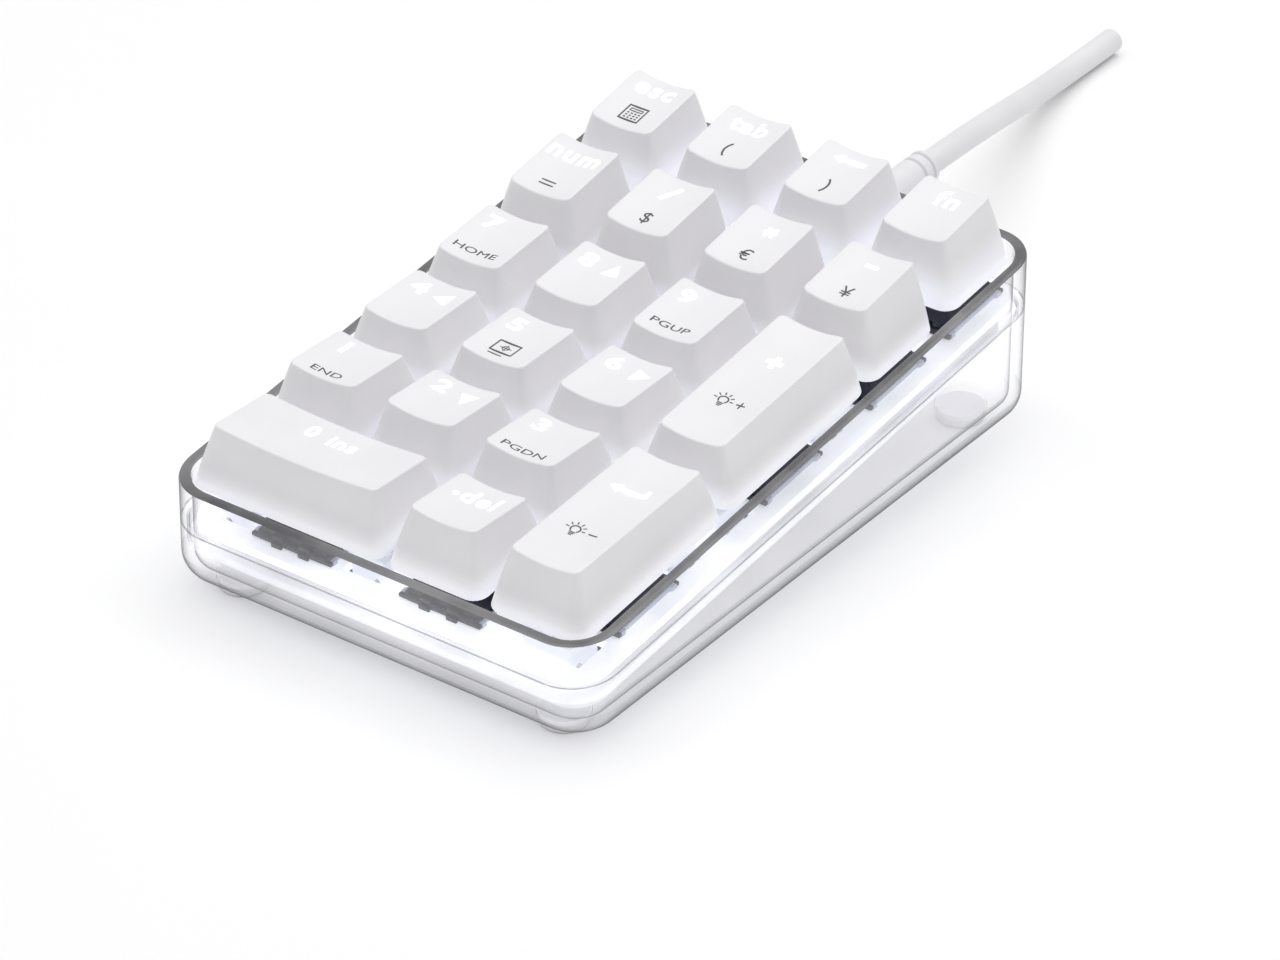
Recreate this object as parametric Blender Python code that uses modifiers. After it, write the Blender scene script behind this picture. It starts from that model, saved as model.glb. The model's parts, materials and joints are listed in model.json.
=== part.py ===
"""Numeric keypad: a clear two-part wedge case, a switch plate, a circuit board, 21 keys and a cable.

World frame: origin on the table under the middle of the case, +X to the right, +Y to the rear, +Z up.
Key frame: u to the right, v up the slope to the rear, w out of the key plane. Its origin lies on
the plane of the case's rim. Lengths are in metres.
"""
import math

import bmesh
import bpy
from mathutils import Matrix, Vector

MM = 0.001
GAP = 0.3 * MM
# How far a cutter passes a face, and how far a joined piece sinks into its neighbour
PAST = 1 * MM
SINK = 0.2 * MM

# Case
WIDTH = 82 * MM
DEPTH = 123 * MM
CORNER_RADIUS = 8 * MM
BOTTOM_RADIUS = 4.8 * MM
WALL = 2 * MM
LIP_WALL = 1 * MM
FLOOR = 2 * MM
CASE_BOTTOM = 1.7 * MM
RIM_FRONT = 19.15 * MM
RIM_TILT = math.radians(5.92)
SEAM_FRONT = 11.6 * MM
SEAM_TILT = math.radians(5.02)
CORNER_SEGMENTS = 5
CLEARANCE = 20 * MM

# Layers of the key frame, as heights above the rim plane
SKIRT = -1.3 * MM
PLATE_TOP = -7.7 * MM
PLATE_THICKNESS = 1.5 * MM
LEDGE_TOP = PLATE_TOP - PLATE_THICKNESS - GAP
LEDGE_BOTTOM = LEDGE_TOP - 1.2 * MM
LEDGE_REACH = 3.6 * MM
BOARD_TOP = PLATE_TOP - 5 * MM
BOARD_THICKNESS = 1.6 * MM
BOARD_BOTTOM = BOARD_TOP - BOARD_THICKNESS

# Plate and board outlines in the key frame
KEYS_Y = -0.6 * MM
PLATE_HALF = (38.6 * MM, 59.2 * MM)
BOARD_HALF = (37.6 * MM, 57.8 * MM)
BOARD_SHIFT = -0.8 * MM
SHEET_RADIUS = 5.4 * MM

# Keys
PITCH = 19.05 * MM
KEY_SIZE = 18.1 * MM
TOP_ROW_GAP = 2.8 * MM
CAP_WALL = 1.4 * MM
CAP_ROOF = 1.5 * MM
CAP_EDGE = 0.4 * MM
CAP_BASE_RADIUS = 2.6 * MM
CAP_TOP_RADIUS = 1.0 * MM
DISH = 0.9 * MM
# Points along a cap's front and back edges, as shares of half their straight length
DISH_POINTS = (-0.6, 0.0, 0.6)
POST_RADIUS = 2.75 * MM
POST_BOTTOM = 0.3 * MM
SOCKET_DEPTH = 4.1 * MM
SOCKET_ARM = (4.5 * MM, 1.7 * MM)
# Height of a cap's top above its skirt, at the front and at the back
ROW_HEIGHTS = {
    "top": (11.15 * MM, 12.05 * MM),
    "upper": (11.3 * MM, 12.1 * MM),
    "high": (9.65 * MM, 9.45 * MM),
    "middle": (9.65 * MM, 8.3 * MM),
    "low": (10.3 * MM, 8.4 * MM),
    "front": (10.2 * MM, 8.15 * MM),
    "plus": (9.65 * MM, 9.8 * MM),
    "enter": (10.25 * MM, 8.9 * MM),
}
# How far each side of the top lies in from the skirt: at the sides, front and back
ROW_TAPERS = {
    "top": (3.05 * MM, 3.15 * MM, 1.4 * MM),
    "upper": (3.1 * MM, 3.1 * MM, 0.65 * MM),
    "high": (3.0 * MM, 3.1 * MM, 0.7 * MM),
    "middle": (3.0 * MM, 3.1 * MM, 0.75 * MM),
    "low": (2.6 * MM, 3.9 * MM, 1.25 * MM),
    "front": (2.8 * MM, 3.95 * MM, 0.9 * MM),
    "plus": (3.0 * MM, 3.1 * MM, 1.1 * MM),
    "enter": (2.75 * MM, 3.9 * MM, 1.5 * MM),
}

# Switch, as heights above the plate's top face
CUTOUT = 14 * MM
FLANGE_HALF = 7.8 * MM
FLANGE_THICKNESS = 1 * MM
BODY_HALF = 6.7 * MM
HOUSING_TOP = 6.6 * MM
HOUSING_TOP_HALF = (5.3 * MM, 4.5 * MM)
POCKET = (3.8 * MM, 3.1 * MM)
POCKET_FLOOR = -4.3 * MM
SLIDER = (3.5 * MM, 2.8 * MM)
SLIDER_BOTTOM = 1.6 * MM
SLIDER_TOP = 6.4 * MM
CROSS_ARM = (4.0 * MM, 1.2 * MM)
CROSS_TOP = 10.2 * MM
POLE_RADIUS = 1.2 * MM
POLE_BOTTOM = 0.1 * MM
INTO_BOARD = BOARD_TOP - PLATE_TOP - SINK

# Stabiliser of a two-unit key; across is its offset from the key's middle
STAB_ACROSS = 11.938 * MM
STAB_BOX = (-2.5 * MM, 4.2 * MM, -5.0 * MM, 4.2 * MM)
STAB_POCKET = (-1.9 * MM, 3.6 * MM, -2.4 * MM, 3.7 * MM)
STAB_SLOT = (1.7 * MM, 3.5 * MM, -6.0 * MM, -2.0 * MM)
STAB_CUTOUT = (-2.8 * MM, 4.5 * MM, -6.6 * MM, 4.5 * MM)
STAB_TOP = 2.8 * MM
STAB_FLOOR = -4.7 * MM
STAB_SLIDER = (-1.6 * MM, 1.6 * MM, -2.1 * MM, 3.1 * MM)
STAB_SLIDER_BOTTOM = -0.4 * MM
WIRE_RADIUS = 0.7 * MM
WIRE_AXIS_BACK = 7.75 * MM
WIRE_AXIS_HEIGHT = -3.6 * MM
WIRE_ARM = 9 * MM
WIRE_HALF = STAB_ACROSS + 2.6 * MM
WIRE_HOOK = 2.3 * MM
WIRE_LIFT = 5 * MM
WIRE_BEND = 1.2 * MM
HOOK_SLOT_HALF = (1.75 * MM, 1.0 * MM)

# Plug socket and controller chip on the board
CONNECTOR = (-2.5 * MM, 7.5 * MM, 36 * MM, 41 * MM)
CONNECTOR_HEIGHT = 3 * MM
CONTROLLER = (-5 * MM, 5 * MM, 0, 10 * MM)
CONTROLLER_HEIGHT = 1.2 * MM

# Screws and feet
SCREW_PLACES = ((-PITCH, 38.1 * MM), (PITCH, 38.1 * MM), (-PITCH, -39.5 * MM), (PITCH, -39.5 * MM))
CORNER_NAMES = ("rear_left", "rear_right", "front_left", "front_right")
BOSS_RADIUS = 3.2 * MM
BOSS_HOLE = 1.3 * MM
BOSS_WELL = 2.3 * MM
STANDOFF_RADIUS = 2.2 * MM
SCREW_SEAT = BOARD_BOTTOM - GAP - 1.8 * MM
SCREW_HEAD = (1.9 * MM, 1.4 * MM)
SCREW_SHANK = 0.95 * MM
SCREW_TIP = PLATE_TOP - 1.3 * MM
BORE_TOP = SCREW_TIP + GAP
FOOT_PLACE = (31 * MM, 53.5 * MM)
FOOT_RADIUS = 4 * MM
FOOT_SINK = 0.6 * MM

# Cable
CABLE_X = 2.5 * MM
CABLE_NOTCH = (CABLE_X - 4.2 * MM, CABLE_X + 4.2 * MM, 57.6 * MM, 62 * MM)
CABLE_RADIUS = 2.15 * MM
BOOT_NECK = 2.95 * MM
BOOT_COLLAR = 3.7 * MM
BOOT_BORE = 2.45 * MM
BOOT_TIP = 2.8 * MM
BOOT_LENGTH = 23 * MM
BOOT_GROOVE = 0.25 * MM
BOOT_RING = 1.2 * MM
COLLAR_THICKNESS = 1 * MM
CABLE_INSIDE = 2.8 * MM
CABLE_RUN = 77 * MM
CABLE_SWAY = -17.5 * MM
CABLE_STEPS = 16
CABLE_TAIL = 8.5 * MM

COLOURS = {
    "clear_plastic": ((0.93, 0.94, 0.95, 1), 0.06, 0),
    "white_keycap": ((0.86, 0.86, 0.88, 1), 0.45, 0),
    "switch_stem": ((0.05, 0.12, 0.35, 1), 0.4, 0),
    "white_plate": ((0.88, 0.88, 0.9, 1), 0.4, 0),
    "circuit_board": ((0.03, 0.035, 0.05, 1), 0.5, 0),
    "steel": ((0.6, 0.6, 0.62, 1), 0.3, 1),
    "cable_grey": ((0.75, 0.75, 0.77, 1), 0.5, 0),
    "foot_rubber": ((0.75, 0.75, 0.77, 1), 0.7, 0),
}


def clear_scene():
    for obj in list(bpy.data.objects):
        bpy.data.objects.remove(obj, do_unlink=True)


def new_collection(name):
    collection = bpy.data.collections.new(name)
    bpy.context.scene.collection.children.link(collection)
    return collection


def new_materials():
    made = {}
    for name, (colour, roughness, metallic) in COLOURS.items():
        made[name] = bpy.data.materials.new(name)
        made[name].use_nodes = True
        shader = made[name].node_tree.nodes["Principled BSDF"]
        shader.inputs["Base Color"].default_value = colour
        shader.inputs["Roughness"].default_value = roughness
        shader.inputs["Metallic"].default_value = metallic
    return made


clear_scene()
PARTS = new_collection("numeric_keypad")
CUTTERS = new_collection("cutters")
MATERIALS = new_materials()


# Objects and their modifiers

def mesh_from(bm, name):
    bmesh.ops.recalc_face_normals(bm, faces=bm.faces)
    mesh = bpy.data.meshes.new(name)
    bm.to_mesh(mesh)
    bm.free()
    return mesh


def place(name, data, collection, parent=None, location=(0, 0, 0), turn=0.0):
    obj = bpy.data.objects.new(name, data)
    collection.objects.link(obj)
    obj.parent = parent
    obj.location = location
    obj.rotation_euler = (0, 0, turn)
    if collection is CUTTERS:
        obj.hide_render = True
        obj.display_type = "WIRE"
    return obj


def boolean(obj, operand, operation):
    modifier = obj.modifiers.new(operand.name, "BOOLEAN")
    modifier.object = operand
    modifier.operation = operation


def cut(obj, *cutters):
    for cutter in cutters:
        boolean(obj, cutter, "DIFFERENCE")


def join(obj, *pieces):
    for piece in pieces:
        boolean(obj, piece, "UNION")


def finish(obj, material, smooth_angle=math.radians(35)):
    obj.data.materials.clear()
    obj.data.materials.append(MATERIALS[material])
    if obj.type == "MESH":
        obj.data.shade_smooth()
        obj.data.set_sharp_from_angle(angle=smooth_angle)
    return obj


def evaluated_mesh(obj):
    """The object's mesh with its modifiers applied, welded where a curve's caps are loose."""
    bpy.context.view_layer.update()
    depsgraph = bpy.context.evaluated_depsgraph_get()
    mesh = bpy.data.meshes.new_from_object(obj.evaluated_get(depsgraph))
    bm = bmesh.new()
    bm.from_mesh(mesh)
    bmesh.ops.remove_doubles(bm, verts=bm.verts, dist=0.001 * MM)
    bm.to_mesh(mesh)
    bm.free()
    return mesh


def as_mesh_object(obj):
    """Replace a curve, or an object with modifiers, by a plain mesh object in its place."""
    mesh = evaluated_mesh(obj)
    name, parent, collection = obj.name, obj.parent, obj.users_collection[0]
    location, rotation = obj.location.copy(), obj.rotation_euler.copy()
    bpy.data.objects.remove(obj, do_unlink=True)
    solid = place(name, mesh, collection, parent, location)
    solid.rotation_euler = rotation
    return solid


# Shapes

def box(name, corners, low, high, collection=CUTTERS, **where):
    """A box from corners (low u, high u, low v, high v) and two heights."""
    u0, u1, v0, v1 = corners
    bm = bmesh.new()
    bmesh.ops.create_cube(bm, size=1)
    bmesh.ops.scale(bm, verts=bm.verts, vec=(u1 - u0, v1 - v0, high - low))
    bmesh.ops.translate(bm, verts=bm.verts, vec=((u0 + u1) / 2, (v0 + v1) / 2, (low + high) / 2))
    return place(name, mesh_from(bm, name), collection, **where)


def cylinder(name, radius, low, high, segments=12, collection=CUTTERS, **where):
    bm = bmesh.new()
    bmesh.ops.create_cone(bm, cap_ends=True, segments=segments, radius1=radius, radius2=radius,
                          depth=high - low)
    bmesh.ops.translate(bm, verts=bm.verts, vec=(0, 0, (low + high) / 2))
    return place(name, mesh_from(bm, name), collection, **where)


def prism(name, half, radius, low, high, bottom_radius=0.0, collection=CUTTERS, **where):
    """An upright prism on a rounded rectangle. low and high give the height of its ends at y."""
    bm = bmesh.new()
    bmesh.ops.create_cube(bm, size=2)
    bmesh.ops.scale(bm, verts=bm.verts, vec=(half[0], half[1], 1))
    upright = [e for e in bm.edges if abs(e.verts[0].co.z - e.verts[1].co.z) > 1]
    bmesh.ops.bevel(bm, geom=upright, offset=radius, segments=CORNER_SEGMENTS, profile=0.5,
                    affect="EDGES")
    for vert in bm.verts:
        end = high if vert.co.z > 0 else low
        vert.co.z = end(vert.co.y)
    if bottom_radius:
        base = min(bm.faces, key=lambda face: face.calc_center_median().z)
        bmesh.ops.bevel(bm, geom=list(base.edges), offset=bottom_radius, segments=3, profile=0.5,
                        affect="EDGES")
    return place(name, mesh_from(bm, name), collection, **where)


def turned(name, profile, steps, collection=PARTS, **where):
    """A turned solid from (radius, height) points that run down its outer side."""
    mesh = bpy.data.meshes.new(name)
    points = [(radius, 0, height) for radius, height in profile]
    edges = [(i, i + 1) for i in range(len(points) - 1)]
    mesh.from_pydata(points, edges, [])
    obj = place(name, mesh, collection, **where)
    screw = obj.modifiers.new("turn", "SCREW")
    screw.steps = steps
    screw.render_steps = steps
    screw.use_merge_vertices = True
    screw.merge_threshold = 0.01 * MM
    return obj


def flat_cap(bm, ring):
    bm.faces.new(ring)


def strip_cap(bm, ring):
    """Close a ring by strips from its front side to its back side, so that a dish stays round."""
    half = len(ring) // 2
    front, back = ring[:half], ring[half:][::-1]
    for i in range(half - 1):
        bm.faces.new((front[i], front[i + 1], back[i + 1], back[i]))


def loft(name, rings, cap=flat_cap, collection=CUTTERS, **where):
    """A closed solid through rings of equal length, closed at both ends by cap."""
    bm = bmesh.new()
    rows = [[bm.verts.new(point) for point in ring] for ring in rings]
    count = len(rows[0])
    for lower, upper in zip(rows, rows[1:]):
        for i in range(count):
            j = (i + 1) % count
            bm.faces.new((lower[i], lower[j], upper[j], upper[i]))
    cap(bm, rows[0])
    cap(bm, rows[-1])
    return place(name, mesh_from(bm, name), collection, **where)


def square_ring(half_u, half_v, height):
    return [(-half_u, -half_v, height), (half_u, -half_v, height),
            (half_u, half_v, height), (-half_u, half_v, height)]


def rim_height(y):
    return RIM_FRONT + (y + DEPTH / 2) * math.tan(RIM_TILT)


def seam_height(y):
    return SEAM_FRONT + (y + DEPTH / 2) * math.tan(SEAM_TILT)


def above_case(y):
    return rim_height(y) + CLEARANCE


def level(offset):
    """The height, at y, of the plane that lies offset above the rim plane."""
    return lambda y: rim_height(y) + offset / math.cos(RIM_TILT)


def inset(distance):
    """Half sizes and corner radius of the case's outline moved inwards."""
    half = (WIDTH / 2 - distance, DEPTH / 2 - distance)
    return {"half": half, "radius": CORNER_RADIUS - distance}


# Key frame

key_frame = place("key_frame", None, PARTS, location=(0, KEYS_Y, rim_height(KEYS_Y)))
key_frame.rotation_euler = (RIM_TILT, 0, 0)


def column(index):
    return (index - 1.5) * PITCH


def row(index):
    """Middle of a row, counted from the rear. The rearmost row stands apart from the others."""
    front_row = -(5 * PITCH + TOP_ROW_GAP) / 2
    spot = front_row + (5 - index) * PITCH
    return spot + TOP_ROW_GAP if index == 0 else spot


# name, column, row, width and depth in units, row profile
KEYS = (
    ("escape", 0, 0, 1, 1, "top"), ("tab", 1, 0, 1, 1, "top"),
    ("backspace", 2, 0, 1, 1, "top"), ("function", 3, 0, 1, 1, "top"),
    ("num_lock", 0, 1, 1, 1, "upper"), ("divide", 1, 1, 1, 1, "upper"),
    ("multiply", 2, 1, 1, 1, "upper"), ("minus", 3, 1, 1, 1, "upper"),
    ("7", 0, 2, 1, 1, "high"), ("8", 1, 2, 1, 1, "high"), ("9", 2, 2, 1, 1, "high"),
    ("plus", 3, 2.5, 1, 2, "plus"),
    ("4", 0, 3, 1, 1, "middle"), ("5", 1, 3, 1, 1, "middle"), ("6", 2, 3, 1, 1, "middle"),
    ("1", 0, 4, 1, 1, "low"), ("2", 1, 4, 1, 1, "low"), ("3", 2, 4, 1, 1, "low"),
    ("enter", 3, 4.5, 1, 2, "enter"),
    ("0", 0.5, 5, 2, 1, "front"), ("decimal", 2, 5, 1, 1, "front"),
)


def key_place(key, height):
    return (column(key[1]), row(key[2]), height)


def key_turn(key):
    """Angle that turns a stabiliser's own across axis onto the key's long side."""
    return math.pi / 2 if key[4] == 2 else 0.0


def stabilised(key):
    return max(key[3], key[4]) == 2


# Keycaps

def cap_ring(sides, radius, height):
    """A rounded rectangle, (left, right, front, back), with two corner steps and dish points.

    It starts at the left end of the front side. height gives w at (u, v).
    """
    left, right, front, back = sides
    middle = (left + right) / 2
    half_straight = (right - left) / 2 - radius
    half_ring = []
    for angle in (180, 225, 270):
        turn = math.radians(angle)
        half_ring.append((left + radius + radius * math.cos(turn), radius * math.sin(turn)))
    half_ring += [(middle + share * half_straight, -radius) for share in DISH_POINTS]
    for angle in (270, 315, 360):
        turn = math.radians(angle)
        half_ring.append((right - radius + radius * math.cos(turn), radius * math.sin(turn)))
    front_side = [(u, front + radius + v) for u, v in half_ring]
    back_side = [(u, back - radius - v) for u, v in reversed(half_ring)]
    return [(u, v, height(u, v)) for u, v in front_side + back_side]


def cap_surface(sides, heights, lower):
    """Height function of a cap's dished top, lowered by a distance."""
    left, right, front, back = sides
    half_width = (right - left) / 2
    middle = (left + right) / 2

    def height(u, v):
        along = (v - front) / (back - front)
        across = min(1.0, abs(u - middle) / half_width)
        return heights[0] + (heights[1] - heights[0]) * along - DISH * (1 - across ** 2) - lower
    return height


def cap_shell(name, width, depth, profile):
    """The outer form and the hollow of a keycap. Its origin is at the middle of its skirt."""
    heights = ROW_HEIGHTS[profile]
    in_side, in_front, in_back = ROW_TAPERS[profile]
    half_u, half_v = width / 2, depth / 2
    base = (-half_u, half_u, -half_v, half_v)
    top = (-half_u + in_side, half_u - in_side, -half_v + in_front, half_v - in_back)
    face = tuple(side + CAP_EDGE * sign for side, sign in zip(top, (1, -1, 1, -1)))
    wall = tuple(side + CAP_WALL * sign for side, sign in zip(base, (1, -1, 1, -1)))
    roof = tuple(side + CAP_WALL * sign for side, sign in zip(top, (1, -1, 1, -1)))
    shell = loft(name, [
        cap_ring(roof, CAP_EDGE, cap_surface(top, heights, CAP_ROOF + DISH / 2)),
        cap_ring(wall, CAP_EDGE, lambda u, v: 0.0),
        cap_ring(base, CAP_BASE_RADIUS, lambda u, v: 0.0),
        cap_ring(top, CAP_TOP_RADIUS, cap_surface(top, heights, CAP_EDGE * 0.8)),
        cap_ring(face, CAP_TOP_RADIUS - CAP_EDGE, cap_surface(top, heights, 0.0)),
    ], cap=strip_cap)
    return shell


def cross_bar(name, arm, low, high):
    cross = box(name, (-arm[0] / 2, arm[0] / 2, -arm[1] / 2, arm[1] / 2), low, high)
    other = box(name + "_arm", (-arm[1] / 2, arm[1] / 2, -arm[0] / 2, arm[0] / 2), low, high)
    join(cross, other)
    return cross


def stabiliser_legs(name, turn, roof):
    """The two sliders under a two-unit cap, with a slot for the wire's hook in each."""
    legs = []
    skirt_above_plate = SKIRT - PLATE_TOP
    for side in (-1, 1):
        u0, u1, v0, v1 = STAB_SLIDER
        corners = (side * STAB_ACROSS + u0, side * STAB_ACROSS + u1, v0, v1)
        low = STAB_SLIDER_BOTTOM - skirt_above_plate
        leg = box(f"{name}_leg_{side}", corners, low, roof, turn=turn)
        slot_middle = (v0 + v1) / 2
        hook_height = WIRE_AXIS_HEIGHT + WIRE_LIFT - skirt_above_plate
        slot = box(f"{name}_slot_{side}",
                   (corners[0] - PAST, corners[1] + PAST,
                    slot_middle - HOOK_SLOT_HALF[0], slot_middle + HOOK_SLOT_HALF[0]),
                   hook_height - HOOK_SLOT_HALF[1], hook_height + HOOK_SLOT_HALF[1], turn=turn)
        cut(leg, slot)
        legs.append(leg)
    return legs


def cap_mesh(units_u, units_v, profile):
    """A finished cap: shell, post with its cross socket and, on a long cap, two sliders."""
    name = f"cap_{profile}_{units_u}x{units_v}"
    heights = ROW_HEIGHTS[profile]
    width = KEY_SIZE + (units_u - 1) * PITCH
    depth = KEY_SIZE + (units_v - 1) * PITCH
    shell = cap_shell(name, width, depth, profile)
    roof = min(heights) - DISH - CAP_ROOF / 2
    join(shell, cylinder(name + "_post", POST_RADIUS, POST_BOTTOM, roof, segments=10))
    if units_u + units_v == 3:
        turn = math.pi / 2 if units_v == 2 else 0.0
        join(shell, *stabiliser_legs(name, turn, roof))
    cut(shell, cross_bar(name + "_socket", SOCKET_ARM, -2 * PAST, SOCKET_DEPTH))
    mesh = evaluated_mesh(shell)
    mesh.name = name
    return mesh


def make_keycaps():
    meshes = {}
    for key in KEYS:
        kind = key[3:6]
        if kind not in meshes:
            meshes[kind] = cap_mesh(*kind)
        cap = place("keycap_" + key[0], meshes[kind], PARTS, key_frame, key_place(key, SKIRT))
        finish(cap, "white_keycap")


# Switches

def stem_mesh():
    """Slider, cross and guide pole. Its origin is at the height of the plate's top face."""
    stem = box("stem", (-SLIDER[0], SLIDER[0], -SLIDER[1], SLIDER[1]), SLIDER_BOTTOM, SLIDER_TOP)
    cross = cross_bar("stem_cross", CROSS_ARM, SLIDER_TOP - SINK, CROSS_TOP)
    pole = cylinder("stem_pole", POLE_RADIUS, POLE_BOTTOM, SLIDER_BOTTOM + SINK, segments=8)
    join(stem, cross, pole)
    return evaluated_mesh(stem)


def make_stems():
    mesh = stem_mesh()
    for key in KEYS:
        stem = place("switch_stem_" + key[0], mesh, PARTS, key_frame, key_place(key, PLATE_TOP))
        finish(stem, "switch_stem")


def switch_housing(key):
    """A housing from the board, through the plate, to the open pocket that guides the stem."""
    flange_top = GAP + FLANGE_THICKNESS
    return loft("housing_" + key[0], [
        square_ring(BODY_HALF, BODY_HALF, INTO_BOARD),
        square_ring(BODY_HALF, BODY_HALF, GAP),
        square_ring(FLANGE_HALF, FLANGE_HALF, GAP),
        square_ring(FLANGE_HALF, FLANGE_HALF, flange_top),
        square_ring(BODY_HALF + GAP, BODY_HALF + GAP, flange_top),
        square_ring(*HOUSING_TOP_HALF, HOUSING_TOP),
        square_ring(*POCKET, HOUSING_TOP),
        square_ring(*POCKET, POCKET_FLOOR),
    ], parent=key_frame, location=key_place(key, PLATE_TOP))


# Stabilisers

def stabiliser_side(side, corners):
    """Corners of a stabiliser piece, mirrored so that its arm side faces away from the key."""
    u0, u1, v0, v1 = corners
    if side < 0:
        u0, u1 = -u1, -u0
    return (side * STAB_ACROSS + u0, side * STAB_ACROSS + u1, v0, v1)


def stabiliser_housings(key):
    housings = []
    where = {"parent": key_frame, "location": key_place(key, PLATE_TOP), "turn": key_turn(key)}
    for side in (-1, 1):
        name = f"stabiliser_{key[0]}_{side}"
        housing = box(name, stabiliser_side(side, STAB_BOX), INTO_BOARD, STAB_TOP, **where)
        pocket = box(name + "_pocket", stabiliser_side(side, STAB_POCKET), STAB_FLOOR,
                     STAB_TOP + PAST, **where)
        slot = box(name + "_slot", stabiliser_side(side, STAB_SLOT), STAB_FLOOR + SINK,
                   STAB_TOP + 2 * PAST, **where)
        cut(housing, pocket, slot)
        housings.append(housing)
    return housings


def wire_path():
    """Half a stabiliser wire, from its hook to the middle of its long side, on its hinge axis."""
    reach = math.sqrt(WIRE_ARM ** 2 - WIRE_LIFT ** 2)
    hook = Vector((WIRE_HALF - WIRE_HOOK, reach, WIRE_LIFT))
    elbow = Vector((WIRE_HALF, reach, WIRE_LIFT))
    corner = Vector((WIRE_HALF, 0, 0))
    arm = (corner - elbow).normalized()
    across = Vector((1, 0, 0))
    return [hook, elbow - across * WIRE_BEND, elbow + arm * WIRE_BEND,
            corner - arm * WIRE_BEND, corner - across * WIRE_BEND]


def make_wire(key):
    """A bent wire. Its origin is on its hinge axis, in front of or beside the switch."""
    half = wire_path()
    points = half + [Vector((-p.x, p.y, p.z)) for p in reversed(half)]
    curve = bpy.data.curves.new("stabiliser_wire_" + key[0], "CURVE")
    curve.dimensions = "3D"
    curve.bevel_depth = WIRE_RADIUS
    curve.bevel_resolution = 2
    curve.use_fill_caps = True
    spline = curve.splines.new("POLY")
    spline.points.add(len(points) - 1)
    for slot, point in zip(spline.points, points):
        slot.co = (*point, 1)
    back = Matrix.Rotation(key_turn(key), 3, "Z") @ Vector((0, -WIRE_AXIS_BACK, 0))
    axis_place = Vector(key_place(key, PLATE_TOP + WIRE_AXIS_HEIGHT)) + back
    wire = place(curve.name, curve, PARTS, key_frame, axis_place, key_turn(key))
    finish(as_mesh_object(wire), "steel")


# Plate and board

def sheet(name, half, middle_v, low, high, collection=PARTS):
    return prism(name, half, SHEET_RADIUS, lambda y: low, lambda y: high, collection=collection,
                 parent=key_frame, location=(0, middle_v, 0))


def make_switch_plate():
    bottom = PLATE_TOP - PLATE_THICKNESS
    plate = sheet("switch_plate", PLATE_HALF, 0, bottom, PLATE_TOP)
    for spot, (u, v) in enumerate(SCREW_PLACES):
        where = {"parent": key_frame, "location": (u, v, 0)}
        standoff_bottom = BOARD_TOP + GAP
        join(plate, cylinder(f"standoff_{spot}", STANDOFF_RADIUS, standoff_bottom,
                             bottom + SINK, **where))
        cut(plate, cylinder(f"standoff_bore_{spot}", SCREW_SHANK + GAP, standoff_bottom - PAST,
                            BORE_TOP, segments=8, **where))
    low, high = bottom - PAST, PLATE_TOP + PAST
    for key in KEYS:
        half = CUTOUT / 2
        cut(plate, box("cutout_" + key[0], (-half, half, -half, half), low, high,
                       parent=key_frame, location=key_place(key, 0)))
        if stabilised(key):
            for side in (-1, 1):
                cut(plate, box(f"cutout_{key[0]}_{side}", stabiliser_side(side, STAB_CUTOUT),
                               low, high, parent=key_frame, location=key_place(key, 0),
                               turn=key_turn(key)))
    cut(plate, box("cutout_cable", CABLE_NOTCH, low, high, parent=key_frame))
    finish(plate, "white_plate")


def make_circuit_board():
    board = sheet("circuit_board", BOARD_HALF, BOARD_SHIFT, BOARD_BOTTOM, BOARD_TOP)
    for spot, (u, v) in enumerate(SCREW_PLACES):
        cut(board, cylinder(f"board_hole_{spot}", BOSS_HOLE, BOARD_BOTTOM - PAST, BOARD_TOP + PAST,
                            segments=8, parent=key_frame, location=(u, v, 0)))
    for key in KEYS:
        join(board, switch_housing(key))
        if stabilised(key):
            join(board, *stabiliser_housings(key))
    join(board,
         box("connector", CONNECTOR, BOARD_TOP - SINK, BOARD_TOP + CONNECTOR_HEIGHT,
             parent=key_frame),
         box("controller", CONTROLLER, BOARD_BOTTOM - CONTROLLER_HEIGHT, BOARD_BOTTOM + SINK,
             parent=key_frame))
    finish(board, "circuit_board")


# Case

def cable_hole(name, radius, front, back):
    """A cutter along Y through the rear wall, centred on the seam."""
    hole = cylinder(name, radius, front, back, segments=16)
    hole.location = (CABLE_X, 0, seam_height(DEPTH / 2))
    hole.rotation_euler = (-math.pi / 2, 0, 0)
    return hole


def make_top_frame(holes):
    frame = prism("top_frame", **inset(0), low=seam_height, high=rim_height, collection=PARTS)
    join(frame, prism("frame_tongue", **inset(LIP_WALL + GAP), low=level(LEDGE_BOTTOM),
                      high=lambda y: seam_height(y) + PAST))
    cut(frame,
        prism("frame_well", **inset(WALL), low=level(LEDGE_TOP), high=above_case),
        prism("frame_opening", **inset(LEDGE_REACH), low=lambda y: 0.0, high=above_case),
        *holes)
    finish(frame, "clear_plastic")


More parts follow.
